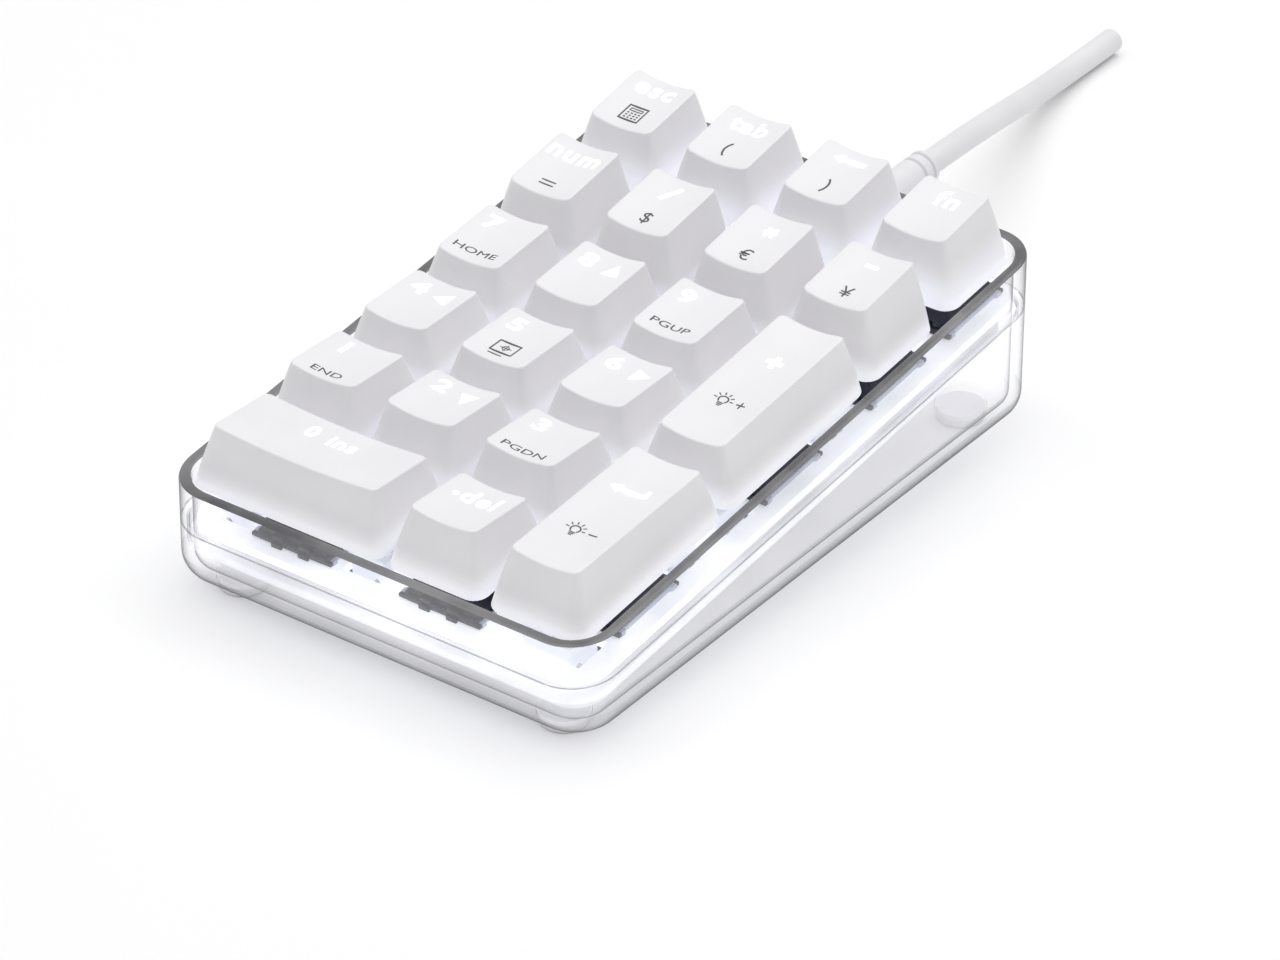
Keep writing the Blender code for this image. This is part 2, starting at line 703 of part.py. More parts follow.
def make_bottom_case(holes):
    case = prism("bottom_case", **inset(0), low=lambda y: CASE_BOTTOM, high=seam_height,
                 bottom_radius=BOTTOM_RADIUS, collection=PARTS)
    floor_top = CASE_BOTTOM + FLOOR
    cut(case,
        prism("case_hollow", **inset(WALL), low=lambda y: floor_top, high=above_case,
              bottom_radius=BOTTOM_RADIUS - WALL),
        prism("case_step", **inset(LIP_WALL), low=level(LEDGE_BOTTOM - GAP), high=above_case),
        *holes)
    boss_top = BOARD_BOTTOM - GAP
    for spot, (u, v) in enumerate(SCREW_PLACES):
        where = {"parent": key_frame, "location": (u, v, 0)}
        in_floor = CASE_BOTTOM + FLOOR / 2 - rim_height(KEYS_Y)
        boss_bottom = (in_floor - v * math.sin(RIM_TILT)) / math.cos(RIM_TILT)
        join(case, cylinder(f"boss_{spot}", BOSS_RADIUS, boss_bottom, boss_top, **where))
        cut(case,
            cylinder(f"boss_hole_{spot}", BOSS_HOLE, boss_bottom - BOTTOM_RADIUS, boss_top + PAST,
                     segments=8, **where),
            cylinder(f"boss_well_{spot}", BOSS_WELL, boss_bottom - BOTTOM_RADIUS, SCREW_SEAT,
                     **where))
    for x, y in foot_places():
        cut(case, cylinder(f"foot_seat_{x:.3f}_{y:.3f}", FOOT_RADIUS + GAP, -PAST,
                           CASE_BOTTOM + FOOT_SINK + GAP, segments=16, location=(x, y, 0)))
    finish(case, "clear_plastic")


# Screws, feet and cable

def foot_places():
    return [(sx * FOOT_PLACE[0], sy * FOOT_PLACE[1]) for sy in (1, -1) for sx in (-1, 1)]


def make_screws():
    head_top = SCREW_SEAT - GAP
    radius, height = SCREW_HEAD
    point = SCREW_SHANK / 2
    profile = [(0, SCREW_TIP), (point, SCREW_TIP), (SCREW_SHANK, SCREW_TIP - point),
               (SCREW_SHANK, head_top), (radius, head_top), (radius, head_top - height / 2),
               (radius * 0.7, head_top - height), (0, head_top - height)]
    for name, (u, v) in zip(CORNER_NAMES, SCREW_PLACES):
        screw = turned("case_screw_" + name, profile, 12, parent=key_frame, location=(u, v, 0))
        finish(screw, "steel")


def make_feet():
    edge = 0.5 * MM
    profile = [(0, CASE_BOTTOM + FOOT_SINK), (FOOT_RADIUS, CASE_BOTTOM + FOOT_SINK),
               (FOOT_RADIUS, edge), (FOOT_RADIUS - edge, 0), (0, 0)]
    for name, (x, y) in zip(CORNER_NAMES, foot_places()):
        finish(turned("rubber_foot_" + name, profile, 16, location=(x, y, 0)), "foot_rubber")


def boot_profile():
    """Radius and distance from the outer wall, from the boot's tip to its inner end."""
    crest, dip = BOOT_TIP + BOOT_GROOVE, BOOT_TIP - BOOT_GROOVE
    outline = [(dip, BOOT_LENGTH), (crest, BOOT_LENGTH - BOOT_GROOVE)]
    for index in range(2):
        start = BOOT_LENGTH - BOOT_RING * (2 * index + 1)
        end = start - 2 * BOOT_GROOVE
        outline += [(crest, start), (dip, start), (dip, end), (crest, end)]
    inner_face = -WALL - GAP
    inner_end = inner_face - COLLAR_THICKNESS
    outline += [(BOOT_NECK, GAP + 2 * COLLAR_THICKNESS), (BOOT_COLLAR, GAP + COLLAR_THICKNESS),
                (BOOT_COLLAR, GAP), (BOOT_NECK, GAP), (BOOT_NECK, inner_face),
                (BOOT_COLLAR, inner_face), (BOOT_COLLAR, inner_end), (BOOT_BORE, inner_end)]
    return outline + [(BOOT_BORE, BOOT_LENGTH), outline[0]]


def make_boot():
    where = (CABLE_X, DEPTH / 2, seam_height(DEPTH / 2))
    boot = turned("cable_boot", boot_profile(), 14, location=where)
    boot.rotation_euler = (-math.pi / 2, 0, 0)
    finish(boot, "cable_grey")


def cable_point(fraction):
    """A point on the cable past the boot: it sinks to the table and sways to one side."""
    ease = fraction ** 2 * (3 - 2 * fraction)
    start_z = seam_height(DEPTH / 2)
    drop = start_z - CABLE_RADIUS - GAP
    return (CABLE_X + CABLE_SWAY * ease,
            DEPTH / 2 + BOOT_LENGTH + CABLE_RUN * fraction,
            start_z - drop * ease)


def make_cable():
    curve = bpy.data.curves.new("cable", "CURVE")
    curve.dimensions = "3D"
    curve.bevel_depth = CABLE_RADIUS
    curve.bevel_resolution = 2
    curve.use_fill_caps = True
    inner_end = (CABLE_X, DEPTH / 2 - CABLE_INSIDE, seam_height(DEPTH / 2))
    run = [cable_point(step / CABLE_STEPS) for step in range(CABLE_STEPS + 1)]
    lowest = run[-1]
    points = [inner_end] + run + [(lowest[0], lowest[1] + CABLE_TAIL, lowest[2])]
    spline = curve.splines.new("POLY")
    spline.points.add(len(points) - 1)
    for slot, point in zip(spline.points, points):
        slot.co = (*point, 1)
    finish(as_mesh_object(place("cable", curve, PARTS)), "cable_grey")


make_keycaps()
make_stems()
for two_unit_key in filter(stabilised, KEYS):
    make_wire(two_unit_key)
make_switch_plate()
make_circuit_board()
hole_front = DEPTH / 2 - 3 * WALL
neck_hole = cable_hole("neck_hole", BOOT_NECK + GAP, hole_front, DEPTH / 2 + PAST)
collar_hole = cable_hole("collar_hole", BOOT_COLLAR + GAP, hole_front, DEPTH / 2 - WALL)
make_top_frame((neck_hole, collar_hole))
make_bottom_case((neck_hole, collar_hole))
make_screws()
make_feet()
make_boot()
make_cable()
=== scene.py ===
"""Looks of the numeric keypad: a clear case, keycaps with legends, switches, board and cable.

Lengths are in metres. World frame: +X to the right, +Y to the rear, +Z up, origin on the table.
Key frame: u to the right, v up the slope to the rear, w out of the plane of the case's rim.
"""

import json
import math

import bmesh
import bpy
import numpy as np
from mathutils import Matrix, Vector


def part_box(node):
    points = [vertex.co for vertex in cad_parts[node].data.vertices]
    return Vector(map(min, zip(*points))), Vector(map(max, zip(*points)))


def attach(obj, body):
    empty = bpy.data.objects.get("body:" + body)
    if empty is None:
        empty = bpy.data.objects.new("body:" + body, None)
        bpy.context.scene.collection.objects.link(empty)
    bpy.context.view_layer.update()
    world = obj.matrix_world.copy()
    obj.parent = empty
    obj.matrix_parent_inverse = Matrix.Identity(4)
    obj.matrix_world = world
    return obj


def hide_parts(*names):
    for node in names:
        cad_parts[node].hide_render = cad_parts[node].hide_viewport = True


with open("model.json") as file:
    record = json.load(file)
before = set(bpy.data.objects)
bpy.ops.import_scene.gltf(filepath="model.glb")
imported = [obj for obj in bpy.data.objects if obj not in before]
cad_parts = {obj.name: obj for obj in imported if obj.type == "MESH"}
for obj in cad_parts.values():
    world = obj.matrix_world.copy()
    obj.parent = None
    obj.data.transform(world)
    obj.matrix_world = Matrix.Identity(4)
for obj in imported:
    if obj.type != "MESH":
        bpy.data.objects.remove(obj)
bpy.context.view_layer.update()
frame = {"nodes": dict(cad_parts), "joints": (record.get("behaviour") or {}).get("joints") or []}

MM = 0.001
GAP = 0.3 * MM

# Case, as in the CAD
WALL = 2 * MM
LIP_WALL = 1 * MM
FLOOR = 2 * MM
CORNER_RADIUS = 8 * MM
BOTTOM_RADIUS = 4.8 * MM
CASE_BOTTOM = 1.7 * MM
SEAM_FRONT = 11.6 * MM
SEAM_TILT = math.radians(5.02)
LEDGE_REACH = 3.6 * MM
EDGE_ROUND = 0.35 * MM
CORNER_STEPS = 12
SEAM_LINE = 0.35 * MM
OUTER_CURVE_STEPS = 8
INNER_CURVE_STEPS = 6
BOSS_RADIUS = 3.2 * MM
SCREW_WELL_RADIUS = 2.3 * MM
SCREW_BORE_RADIUS = 1.3 * MM
SCREW_SEAT_DEPTH = 1.8 * MM
FOOT_X = 31 * MM
FOOT_Y = 53.5 * MM
FOOT_SEAT_RADIUS = 4.3 * MM
FOOT_SEAT_DEPTH = 0.9 * MM
# A foot's outline, as (radius, height) in millimetres
FOOT_PROFILE = ((0.2, 2.3), (4.0, 2.3), (4.0, 0.55), (3.85, 0.2), (3.5, 0.0), (2.4, 0.0),
                (2.2, 0.15), (0.2, 0.15))

# Layers of the key frame, as heights above the rim plane
SKIRT = -1.3 * MM
PLATE_TOP = -7.7 * MM
PLATE_THICKNESS = 1.5 * MM
LEDGE_TOP = PLATE_TOP - PLATE_THICKNESS - GAP
LEDGE_BOTTOM = LEDGE_TOP - 1.2 * MM
BOARD_TOP = PLATE_TOP - 5 * MM
BOARD_THICKNESS = 1.6 * MM
BOARD_BOTTOM = BOARD_TOP - BOARD_THICKNESS
KEYS_Y = -0.6 * MM
PITCH = 19.05 * MM

# Keycaps
CAP_WALL = 1.4 * MM
CAP_ROOF = 1.5 * MM
CAP_BASE_RADIUS = 2.6 * MM
CAP_TOP_RADIUS = 1.1 * MM
CAP_EDGE = 0.4 * MM
CAP_BULGE = 0.12 * MM
CAP_SKIRT_EDGE = 0.12 * MM
CAP_INNER_TOP_RADIUS = 0.6 * MM
CAP_INNER_BASE_RADIUS = 1.2 * MM
DISH = 0.9 * MM
POST_RADIUS = 2.75 * MM
POST_BOTTOM = 0.3 * MM

# Legends lie on a cap as thin solids: how far they stand above it and reach into it
LEGEND_LIFT = 0.03 * MM
LEGEND_SINK = 0.12 * MM

# Switches. The profile runs from the board up, over the flange and the top, and down into the
# well: half width, half depth, height above the plate's top and corner radius, in millimetres.
HOUSING_PROFILE = (
    (6.7, 6.7, -5.0, 0.5), (6.7, 6.7, 0.3, 0.5), (7.1, 7.8, 0.3, 1.1), (7.1, 7.8, 1.0, 1.1),
    (6.9, 7.5, 1.3, 0.9), (6.8, 6.9, 1.3, 0.8), (5.35, 4.6, 6.4, 0.8), (5.15, 4.4, 6.6, 0.7),
    (3.8, 3.1, 6.6, 0.2), (3.8, 3.1, -4.3, 0.2),
)
# A flange lip's outline and its heights above the plate's top, in millimetres
LIP_OUTLINE = ((7.1, -7.0), (7.75, -7.0), (7.75, -6.0), (7.35, -5.7), (7.35, 5.7), (7.75, 6.0),
               (7.75, 7.0), (7.1, 7.0))
LIP_HEIGHTS = (0.05, 0.85)
CLIP_ACROSS = 2.6 * MM
CLIP_HALF_WIDTH = 1.1 * MM
CLIP_FRONT, CLIP_BACK = 7.75 * MM, 6.6 * MM
CLIP_LOW, CLIP_HIGH = 1.2 * MM, 1.9 * MM
TAB_HALF_WIDTH = 1.0 * MM
TAB_PLACE = 8.0 * MM
TAB_HALF_DEPTH = 0.25 * MM
TAB_LOW, TAB_HIGH = 0.05 * MM, 0.9 * MM
BAR_HALF_WIDTH = 7.75 * MM
BAR_PLACE = 7.4 * MM
BAR_HALF_DEPTH = 0.35 * MM
BAR_HIGH = 0.95 * MM
LAMP_PLACE = 6.35 * MM
# A lamp's outline: radius, and height above the plate's top, in millimetres
LAMP_PROFILE = ((0.85, 1.25), (0.85, 2.2), (0.65, 2.7), (0.25, 2.95))
# Each switch's solder joints: place and radius, in millimetres
SOLDER_PLACES = ((-3.8, 2.5, 1.1), (2.5, 5.1, 1.1), (0, 0, 1.9))

# Stabilisers: the right-hand box beside a long key's switch, and its pocket
STAB_ACROSS = 11.938 * MM
STAB_BOX = (-2.5 * MM, 4.2 * MM, -5.0 * MM, 4.2 * MM)
STAB_POCKET = (-1.9 * MM, 3.6 * MM, -2.4 * MM, 3.7 * MM)
LEG_HALF_WIDTH = 1.6 * MM

BOARD_SIDES = (-37.6 * MM, 37.6 * MM, -58.6 * MM, 57.0 * MM)
BOARD_RADIUS = 5.4 * MM
BOARD_BEVEL = 0.15 * MM
SCREW_PLACES = ((-PITCH, 38.1 * MM), (PITCH, 38.1 * MM), (-PITCH, -39.5 * MM), (PITCH, -39.5 * MM))
CABLE_X = 2.5 * MM
CABLE_RADIUS = 2.15 * MM
BOOT_LENGTH = 23 * MM
CABLE_RUN = 77 * MM
CABLE_SWAY = -17.5 * MM
CABLE_TAIL = 8.5 * MM
CABLE_INSIDE = 2.8 * MM
CABLE_STEPS = 48
CABLE_SIDES = 24
NECK_BORE_RADIUS = 3.25 * MM
COLLAR_BORE_RADIUS = 4.0 * MM
BORE_REACH = 6 * MM

# The camera's place and axes, fitted to the photograph
CAMERA_PLACE = (0.52695, -0.71711, 0.57431)
CAMERA_RIGHT = (0.80730, 0.59012, 0.00460)
CAMERA_UP = (-0.32175, 0.43361, 0.84170)
CAMERA_LENS = 188.07

KEY_AXIS = Vector(frame["joints"][0]["axis"])
TILT = math.atan2(KEY_AXIS.y, -KEY_AXIS.z)
TURN = Matrix.Rotation(TILT, 4, "X")


def node_points(node):
    """A CAD node's points, turned so that the key frame's axes lie along X, Y and Z."""
    points = np.array([vert.co for vert in frame["nodes"][node].data.vertices])
    return points @ np.array(TURN.to_3x3())


case_low, case_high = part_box("top_frame")
WIDTH = case_high.x - case_low.x
DEPTH = case_high.y - case_low.y
RIM_W = node_points("top_frame")[:, 2].max()
RIM_Z = (RIM_W + KEYS_Y * math.sin(TILT)) / math.cos(TILT)
KEY_FRAME = Matrix.Translation((0, KEYS_Y, RIM_Z)) @ TURN


def rim_height(y):
    return RIM_Z + (y - KEYS_Y) * math.tan(TILT)


def seam_height(y):
    return SEAM_FRONT + (y + DEPTH / 2) * math.tan(SEAM_TILT)


def level(offset):
    """The height, at y, of the plane that lies offset above the rim plane."""
    return lambda y: rim_height(y) + offset / math.cos(TILT)


# Node trees

def new_material(name):
    material = bpy.data.materials.new(name)
    material.use_nodes = True
    return material, material.node_tree


def add(tree, kind, inputs=(), **settings):
    made = tree.nodes.new(kind)
    for key, value in settings.items():
        setattr(made, key, value)
    for key, value in dict(inputs).items():
        if isinstance(value, bpy.types.NodeSocket):
            tree.links.new(value, made.inputs[key])
        else:
            made.inputs[key].default_value = value
    return made


# Nearly all of a noise texture lies between these values
NOISE_LOW, NOISE_HIGH = 0.3, 0.7


def noise(tree, scale, detail=3.0, roughness=0.55):
    place = add(tree, "ShaderNodeTexCoord").outputs["Object"]
    made = add(tree, "ShaderNodeTexNoise",
               {"Vector": place, "Scale": scale, "Detail": detail, "Roughness": roughness})
    return made.outputs["Fac"]


def ramp(tree, value, low, high, colours=None):
    """A value, or a colour, that runs from the first of a pair to the second."""
    if colours is None:
        made = add(tree, "ShaderNodeMapRange",
                   {"Value": value, "From Min": NOISE_LOW, "From Max": NOISE_HIGH,
                    "To Min": low, "To Max": high})
        return made.outputs["Result"]
    made = add(tree, "ShaderNodeValToRGB", {"Fac": value})
    made.color_ramp.elements[0].position = low
    made.color_ramp.elements[1].position = high
    for element, colour in zip(made.color_ramp.elements, colours):
        element.color = (*colour, 1)
    return made.outputs["Color"]


def bump(tree, height, distance, strength=0.3):
    made = add(tree, "ShaderNodeBump",
               {"Height": height, "Distance": distance, "Strength": strength})
    return made.outputs["Normal"]


def plastic(name, light, dark, roughness, grain=5000.0, depth=0.02 * MM, blotch=90.0, **sockets):
    """Moulded plastic: a faint drift of colour and gloss, and a fine grain."""
    material, tree = new_material(name)
    shader = tree.nodes["Principled BSDF"]
    drift = noise(tree, blotch)
    tree.links.new(ramp(tree, drift, 0.35, 0.65, (dark, light)), shader.inputs["Base Color"])
    tree.links.new(ramp(tree, drift, roughness[0], roughness[1]), shader.inputs["Roughness"])
    tree.links.new(bump(tree, noise(tree, grain), depth), shader.inputs["Normal"])
    for key, value in sockets.items():
        shader.inputs[key.replace("_", " ")].default_value = value
    return material


def metal(name, light, dark, roughness, grain=2500.0):
    material = plastic(name, light, dark, roughness, grain=grain, depth=0.008 * MM)
    material.node_tree.nodes["Principled BSDF"].inputs["Metallic"].default_value = 1.0
    return material


def painted_glow_by_height(material, colour, low, high, strength):
    """Painted light from below: an emission glow, standing in for the lamps' light, that fades out
    between two heights in the piece's own frame.
    """
    tree = material.node_tree
    shader = tree.nodes["Principled BSDF"]
    place = add(tree, "ShaderNodeTexCoord").outputs["Object"]
    height = add(tree, "ShaderNodeSeparateXYZ", {"Vector": place}).outputs["Z"]
    fade = add(tree, "ShaderNodeMapRange",
               {"Value": height, "From Min": low, "From Max": high,
                "To Min": strength, "To Max": 0.0}, interpolation_type="SMOOTHSTEP")
    shader.inputs["Emission Color"].default_value = (*colour, 1)
    tree.links.new(fade.outputs["Result"], shader.inputs["Emission Strength"])
    return material


def glowing_plate(name):
    """White paint with painted light on it: an emission glow in soft patches that stands in for the
    lamps' light.
    """
    material = plastic(name, (0.86, 0.87, 0.9), (0.8, 0.81, 0.85), (0.35, 0.5), grain=3500.0)
    tree = material.node_tree
    shader = tree.nodes["Principled BSDF"]
    painted_light_patches = noise(tree, 70.0, detail=1.0)
    shader.inputs["Emission Color"].default_value = (0.93, 0.95, 1.0, 1)
    tree.links.new(ramp(tree, painted_light_patches, 0.35, 0.65), shader.inputs["Emission Strength"])
    return material


def clear_plastic(name, tint, roughness, even_painted_glow, outline=0.25, spread=4.5):
    """A clear wall: what lies behind shows straight through, and edge-on it turns grey, a painted
    shade in place of the dark edges that refraction gives.

    outline is how dark the edge-on painted shade is, spread how narrow it is, and the glow strength
    a faint even emission: painted light that brightens the wall and what shows through it.
    """
    material, tree = new_material(name)
    output = tree.nodes["Material Output"]
    gloss = tree.nodes["Principled BSDF"]
    gloss.inputs["Metallic"].default_value = 1.0
    drift = noise(tree, 60.0)
    tree.links.new(ramp(tree, drift, 0.3, 0.7, ((0.9, 0.9, 0.92), (1.0, 1.0, 1.0))),
                   gloss.inputs["Base Color"])
    tree.links.new(ramp(tree, drift, roughness[0], roughness[1]), gloss.inputs["Roughness"])
    facing = add(tree, "ShaderNodeLayerWeight").outputs["Facing"]
    steep = add(tree, "ShaderNodeMath", {0: facing, 1: spread}, operation="POWER").outputs[0]
    path = add(tree, "ShaderNodeLightPath")
    lit = add(tree, "ShaderNodeMath", {0: path.outputs["Is Shadow Ray"],
                                       1: path.outputs["Is Diffuse Ray"]}, operation="MAXIMUM")
    seen = add(tree, "ShaderNodeMath", {0: 1.0, 1: lit.outputs[0]}, operation="SUBTRACT")
    edge = add(tree, "ShaderNodeMath", {0: steep, 1: seen.outputs[0]}, operation="MULTIPLY")
    # Painted shade: the see-through colour turns grey where the wall is seen edge-on
    grey = tuple(part * outline for part in tint)
    clear = add(tree, "ShaderNodeBsdfTransparent",
                {"Color": ramp(tree, edge.outputs[0], 0.0, 0.6, (tint, grey))})
    mirror = add(tree, "ShaderNodeMath", {0: edge.outputs[0], 1: 0.25, 2: 0.03},
                 operation="MULTIPLY_ADD")
    share = add(tree, "ShaderNodeMath", {0: mirror.outputs[0], 1: seen.outputs[0]},
                operation="MULTIPLY")
    mix = add(tree, "ShaderNodeMixShader", {0: share.outputs[0], 1: clear.outputs["BSDF"],
                                            2: gloss.outputs["BSDF"]})
    # Painted light: a faint even emission over the whole wall
    glow = add(tree, "ShaderNodeEmission",
               {"Strength": ramp(tree, drift, even_painted_glow * 0.85, even_painted_glow * 1.15)})
    glow.inputs["Color"].default_value = (0.97, 0.97, 1.0, 1)
    total = add(tree, "ShaderNodeAddShader", {0: mix.outputs["Shader"],
                                              1: glow.outputs["Emission"]})
    tree.links.new(total.outputs["Shader"], output.inputs["Surface"])
    return material


MATERIALS = {
    # Keycaps: their own colour, plus painted light, an emission glow near the skirt; the rear row's
    # copy has a stronger glow that reaches higher
    "keycap": painted_glow_by_height(
        plastic("keycap", (0.84, 0.83, 0.845), (0.81, 0.8, 0.82), (0.42, 0.5)),
        (0.84, 0.88, 1.0), 0.0, 4.5 * MM, 0.25),
    "keycap_rear_stronger_glow": painted_glow_by_height(
        plastic("keycap_rear_stronger_glow", (0.84, 0.83, 0.845), (0.81, 0.8, 0.82), (0.42, 0.5)),
        (0.8, 0.83, 1.0), 0.0, 8.0 * MM, 0.3),
    # Bright legends: white print, plus an emission glow that is painted light from the lamps behind
    "legend_white_glow": plastic("legend_white_glow", (1.0, 1.0, 1.0), (0.95, 0.96, 1.0), (0.3, 0.4),
                            Emission_Color=(0.95, 0.97, 1.0, 1), Emission_Strength=0.7),
    "legend_ink": plastic("legend_ink", (0.12, 0.12, 0.13), (0.08, 0.08, 0.09), (0.5, 0.6)),
    # Clear case plastics: the edge-on grey is painted shade, near black on the fillet, and the
    # emission is painted light, strongest on the frost band
    "frame_wall": clear_plastic("frame_wall", (0.97, 0.97, 0.975), (0.02, 0.08), 0.05),
    "tray_wall": clear_plastic("tray_wall", (0.96, 0.96, 0.965), (0.02, 0.08), 0.115, spread=5.5),
    "tray_base": clear_plastic("tray_base", (0.95, 0.95, 0.955), (0.02, 0.08), 0.08),
    "frost": clear_plastic("frost", (0.75, 0.75, 0.76), (0.2, 0.3), 0.3),
    "seam": clear_plastic("seam", (0.5, 0.5, 0.51), (0.1, 0.2), 0.02),
    # Painted shade: the clear rim's top is dark grey plastic in place of the dark band that
    # refraction gives
    "rim": plastic("rim", (0.24, 0.24, 0.245), (0.1, 0.1, 0.105), (0.12, 0.25), blotch=60.0),
    "fillet": clear_plastic("fillet", (0.96, 0.96, 0.965), (0.02, 0.08), 0.07, 0.03, 4.2),
    "housing": plastic("housing", (0.012, 0.014, 0.03), (0.007, 0.009, 0.02), (0.3, 0.45)),
    # Stabilisers: their own pale colour, plus a faint emission glow that is painted light
    "stabiliser": plastic("stabiliser", (0.86, 0.88, 0.93), (0.8, 0.82, 0.88), (0.3, 0.4),
                          Emission_Color=(0.9, 0.93, 1.0, 1), Emission_Strength=0.2),
    "pale": plastic("pale", (0.62, 0.66, 0.76), (0.52, 0.56, 0.66), (0.25, 0.4)),
    "lamp": plastic("lamp", (0.95, 0.97, 1.0), (0.85, 0.9, 1.0), (0.15, 0.25),
                    Emission_Color=(0.8, 0.87, 1.0, 1), Emission_Strength=25.0),
    "stem": plastic("stem", (0.05, 0.11, 0.3), (0.04, 0.09, 0.24), (0.3, 0.4)),
    # The plate's white paint carries patches of painted light
    "plate": glowing_plate("plate"),
    "board": plastic("board", (0.78, 0.79, 0.81), (0.7, 0.71, 0.74), (0.3, 0.42), blotch=400.0),
    "chip": plastic("chip", (0.03, 0.03, 0.032), (0.018, 0.018, 0.02), (0.4, 0.55)),
    "solder": metal("solder", (0.8, 0.8, 0.82), (0.62, 0.62, 0.65), (0.2, 0.4)),
    "steel": metal("steel", (0.66, 0.66, 0.68), (0.52, 0.52, 0.54), (0.22, 0.36)),
    "cable": plastic("cable", (0.8, 0.79, 0.81), (0.76, 0.75, 0.775), (0.42, 0.55), blotch=60.0),
    "foot": plastic("foot", (0.75, 0.75, 0.77), (0.66, 0.66, 0.69), (0.5, 0.65)),
}


# Pieces

def make_piece(name, mesh, body, materials, matrix=None, smooth_angle=35):
    """Put a mesh in place, give it its materials and let it ride on a CAD body."""
    for key in materials:
        mesh.materials.append(MATERIALS[key])
    mesh.shade_smooth()
    mesh.set_sharp_from_angle(angle=math.radians(smooth_angle))
    obj = bpy.data.objects.new(name, mesh)
    bpy.context.scene.collection.objects.link(obj)
    obj.matrix_world = matrix or Matrix.Identity(4)
    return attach(obj, body)


def mesh_from(bm, name, recalc=True):
    if recalc:
        bmesh.ops.recalc_face_normals(bm, faces=bm.faces)
    mesh = bpy.data.meshes.new(name)
    bm.to_mesh(mesh)
    bm.free()
    return mesh


def inset_sides(sides, distance):
    return (sides[0] + distance, sides[1] - distance, sides[2] + distance, sides[3] - distance)


def rounded_rectangle(sides, radius, steps=CORNER_STEPS, straights=1):
    """Points round a rectangle (left, right, front, back), from its front left corner."""
    left, right, front, back = sides
    corners = ((left + radius, front + radius, 180), (right - radius, front + radius, 270),
               (right - radius, back - radius, 0), (left + radius, back - radius, 90))
    points = []
    for x, y, start in corners:
        for step in range(steps + 1):
            turn = math.radians(start + 90 * step / steps)
            points.append((x + radius * math.cos(turn), y + radius * math.sin(turn)))
    if straights == 1:
        return points
    filled = []
    for index, point in enumerate(points):
        filled.append(point)
        if index % (steps + 1) == steps:
            after = points[(index + 1) % len(points)]
            for step in range(1, straights):
                share = step / straights
                filled.append((point[0] + (after[0] - point[0]) * share,
                               point[1] + (after[1] - point[1]) * share))
    return filled


def loft(bm, rings, loop=False, bands=None):
    """Skin rings of equal length, closed at both ends or into a loop.

    bands gives each band's material index.
    """
    rows = [[bm.verts.new(point) for point in ring] for ring in rings]
    count = len(rows[0])
    pairs = list(zip(rows, rows[1:] + rows[:1])) if loop else list(zip(rows, rows[1:]))
    for index, (lower, upper) in enumerate(pairs):
        for i in range(count):
            j = (i + 1) % count
            face = bm.faces.new((lower[i], lower[j], upper[j], upper[i]))
            face.material_index = bands[index] if bands else 0
    if not loop:
        bm.faces.new(rows[0])
        bm.faces.new(rows[-1])
    return rows


def circle(radius, height, steps, centre=(0, 0)):
    return [(centre[0] + radius * math.cos(2 * math.pi * i / steps),
             centre[1] + radius * math.sin(2 * math.pi * i / steps), height)
            for i in range(steps)]


def turned(bm, profile, steps=40, centre=(0, 0), loop=False):
    """A turned solid through (radius, height) points."""
    loft(bm, [circle(radius, height, steps, centre) for radius, height in profile], loop=loop)


def block(bm, corners, low, high, edge=0.15 * MM, slot=0):
    """A box with chamfered upright and top edges, from (left, right, front, back)."""
    def ring(inset, height):
        outline = rounded_rectangle(inset_sides(corners, inset), edge * 0.9, steps=2)
        return [(x, y, height) for x, y in outline]
    rows = loft(bm, [ring(0, low), ring(0, high - edge), ring(edge, high)])
    for row in rows:
        for vert in row:
            for face in vert.link_faces:
                face.material_index = slot


def combined(mesh, operands):
    """The mesh after EXACT booleans with (mesh, operation) pairs."""
    collection = bpy.context.scene.collection
    base = bpy.data.objects.new("boolean_base", mesh)
    collection.objects.link(base)
    helpers = []
    for index, (operand, operation) in enumerate(operands):
        helper = bpy.data.objects.new(f"boolean_{index}", operand)
        collection.objects.link(helper)
        modifier = base.modifiers.new(helper.name, "BOOLEAN")
        modifier.object = helper
        modifier.operation = operation
        helpers.append(helper)
    bpy.context.view_layer.update()
    depsgraph = bpy.context.evaluated_depsgraph_get()
    result = bpy.data.meshes.new_from_object(base.evaluated_get(depsgraph))
    for helper in helpers + [base]:
        bpy.data.objects.remove(helper, do_unlink=True)
    return result


# Case

def case_ring(distance, height):
    """The case's outline, moved in by a distance, at heights that depend on y."""
    sides = inset_sides((-WIDTH / 2, WIDTH / 2, -DEPTH / 2, DEPTH / 2), distance)
    points = rounded_rectangle(sides, CORNER_RADIUS - distance)
    return [(x, y, height(y)) for x, y in points]


def boot_place():
    """The middle of the boot on the rear face, with its axis along Y."""
    return (Matrix.Translation((CABLE_X, DEPTH / 2, seam_height(DEPTH / 2)))
            @ Matrix.Rotation(-math.pi / 2, 4, "X"))


def cable_bore():
    """Cutters for the boot's neck and for its inner collar, along Y through the rear wall."""
    cutters = []
    for name, radius, end in (("neck", NECK_BORE_RADIUS, 1 * MM),
                              ("collar", COLLAR_BORE_RADIUS, -WALL)):
        bm = bmesh.new()
        turned(bm, [(radius, -BORE_REACH), (radius, end)], steps=32)
        cutter = mesh_from(bm, name)
        cutter.transform(boot_place())
        cutters.append((cutter, "DIFFERENCE"))
    return cutters


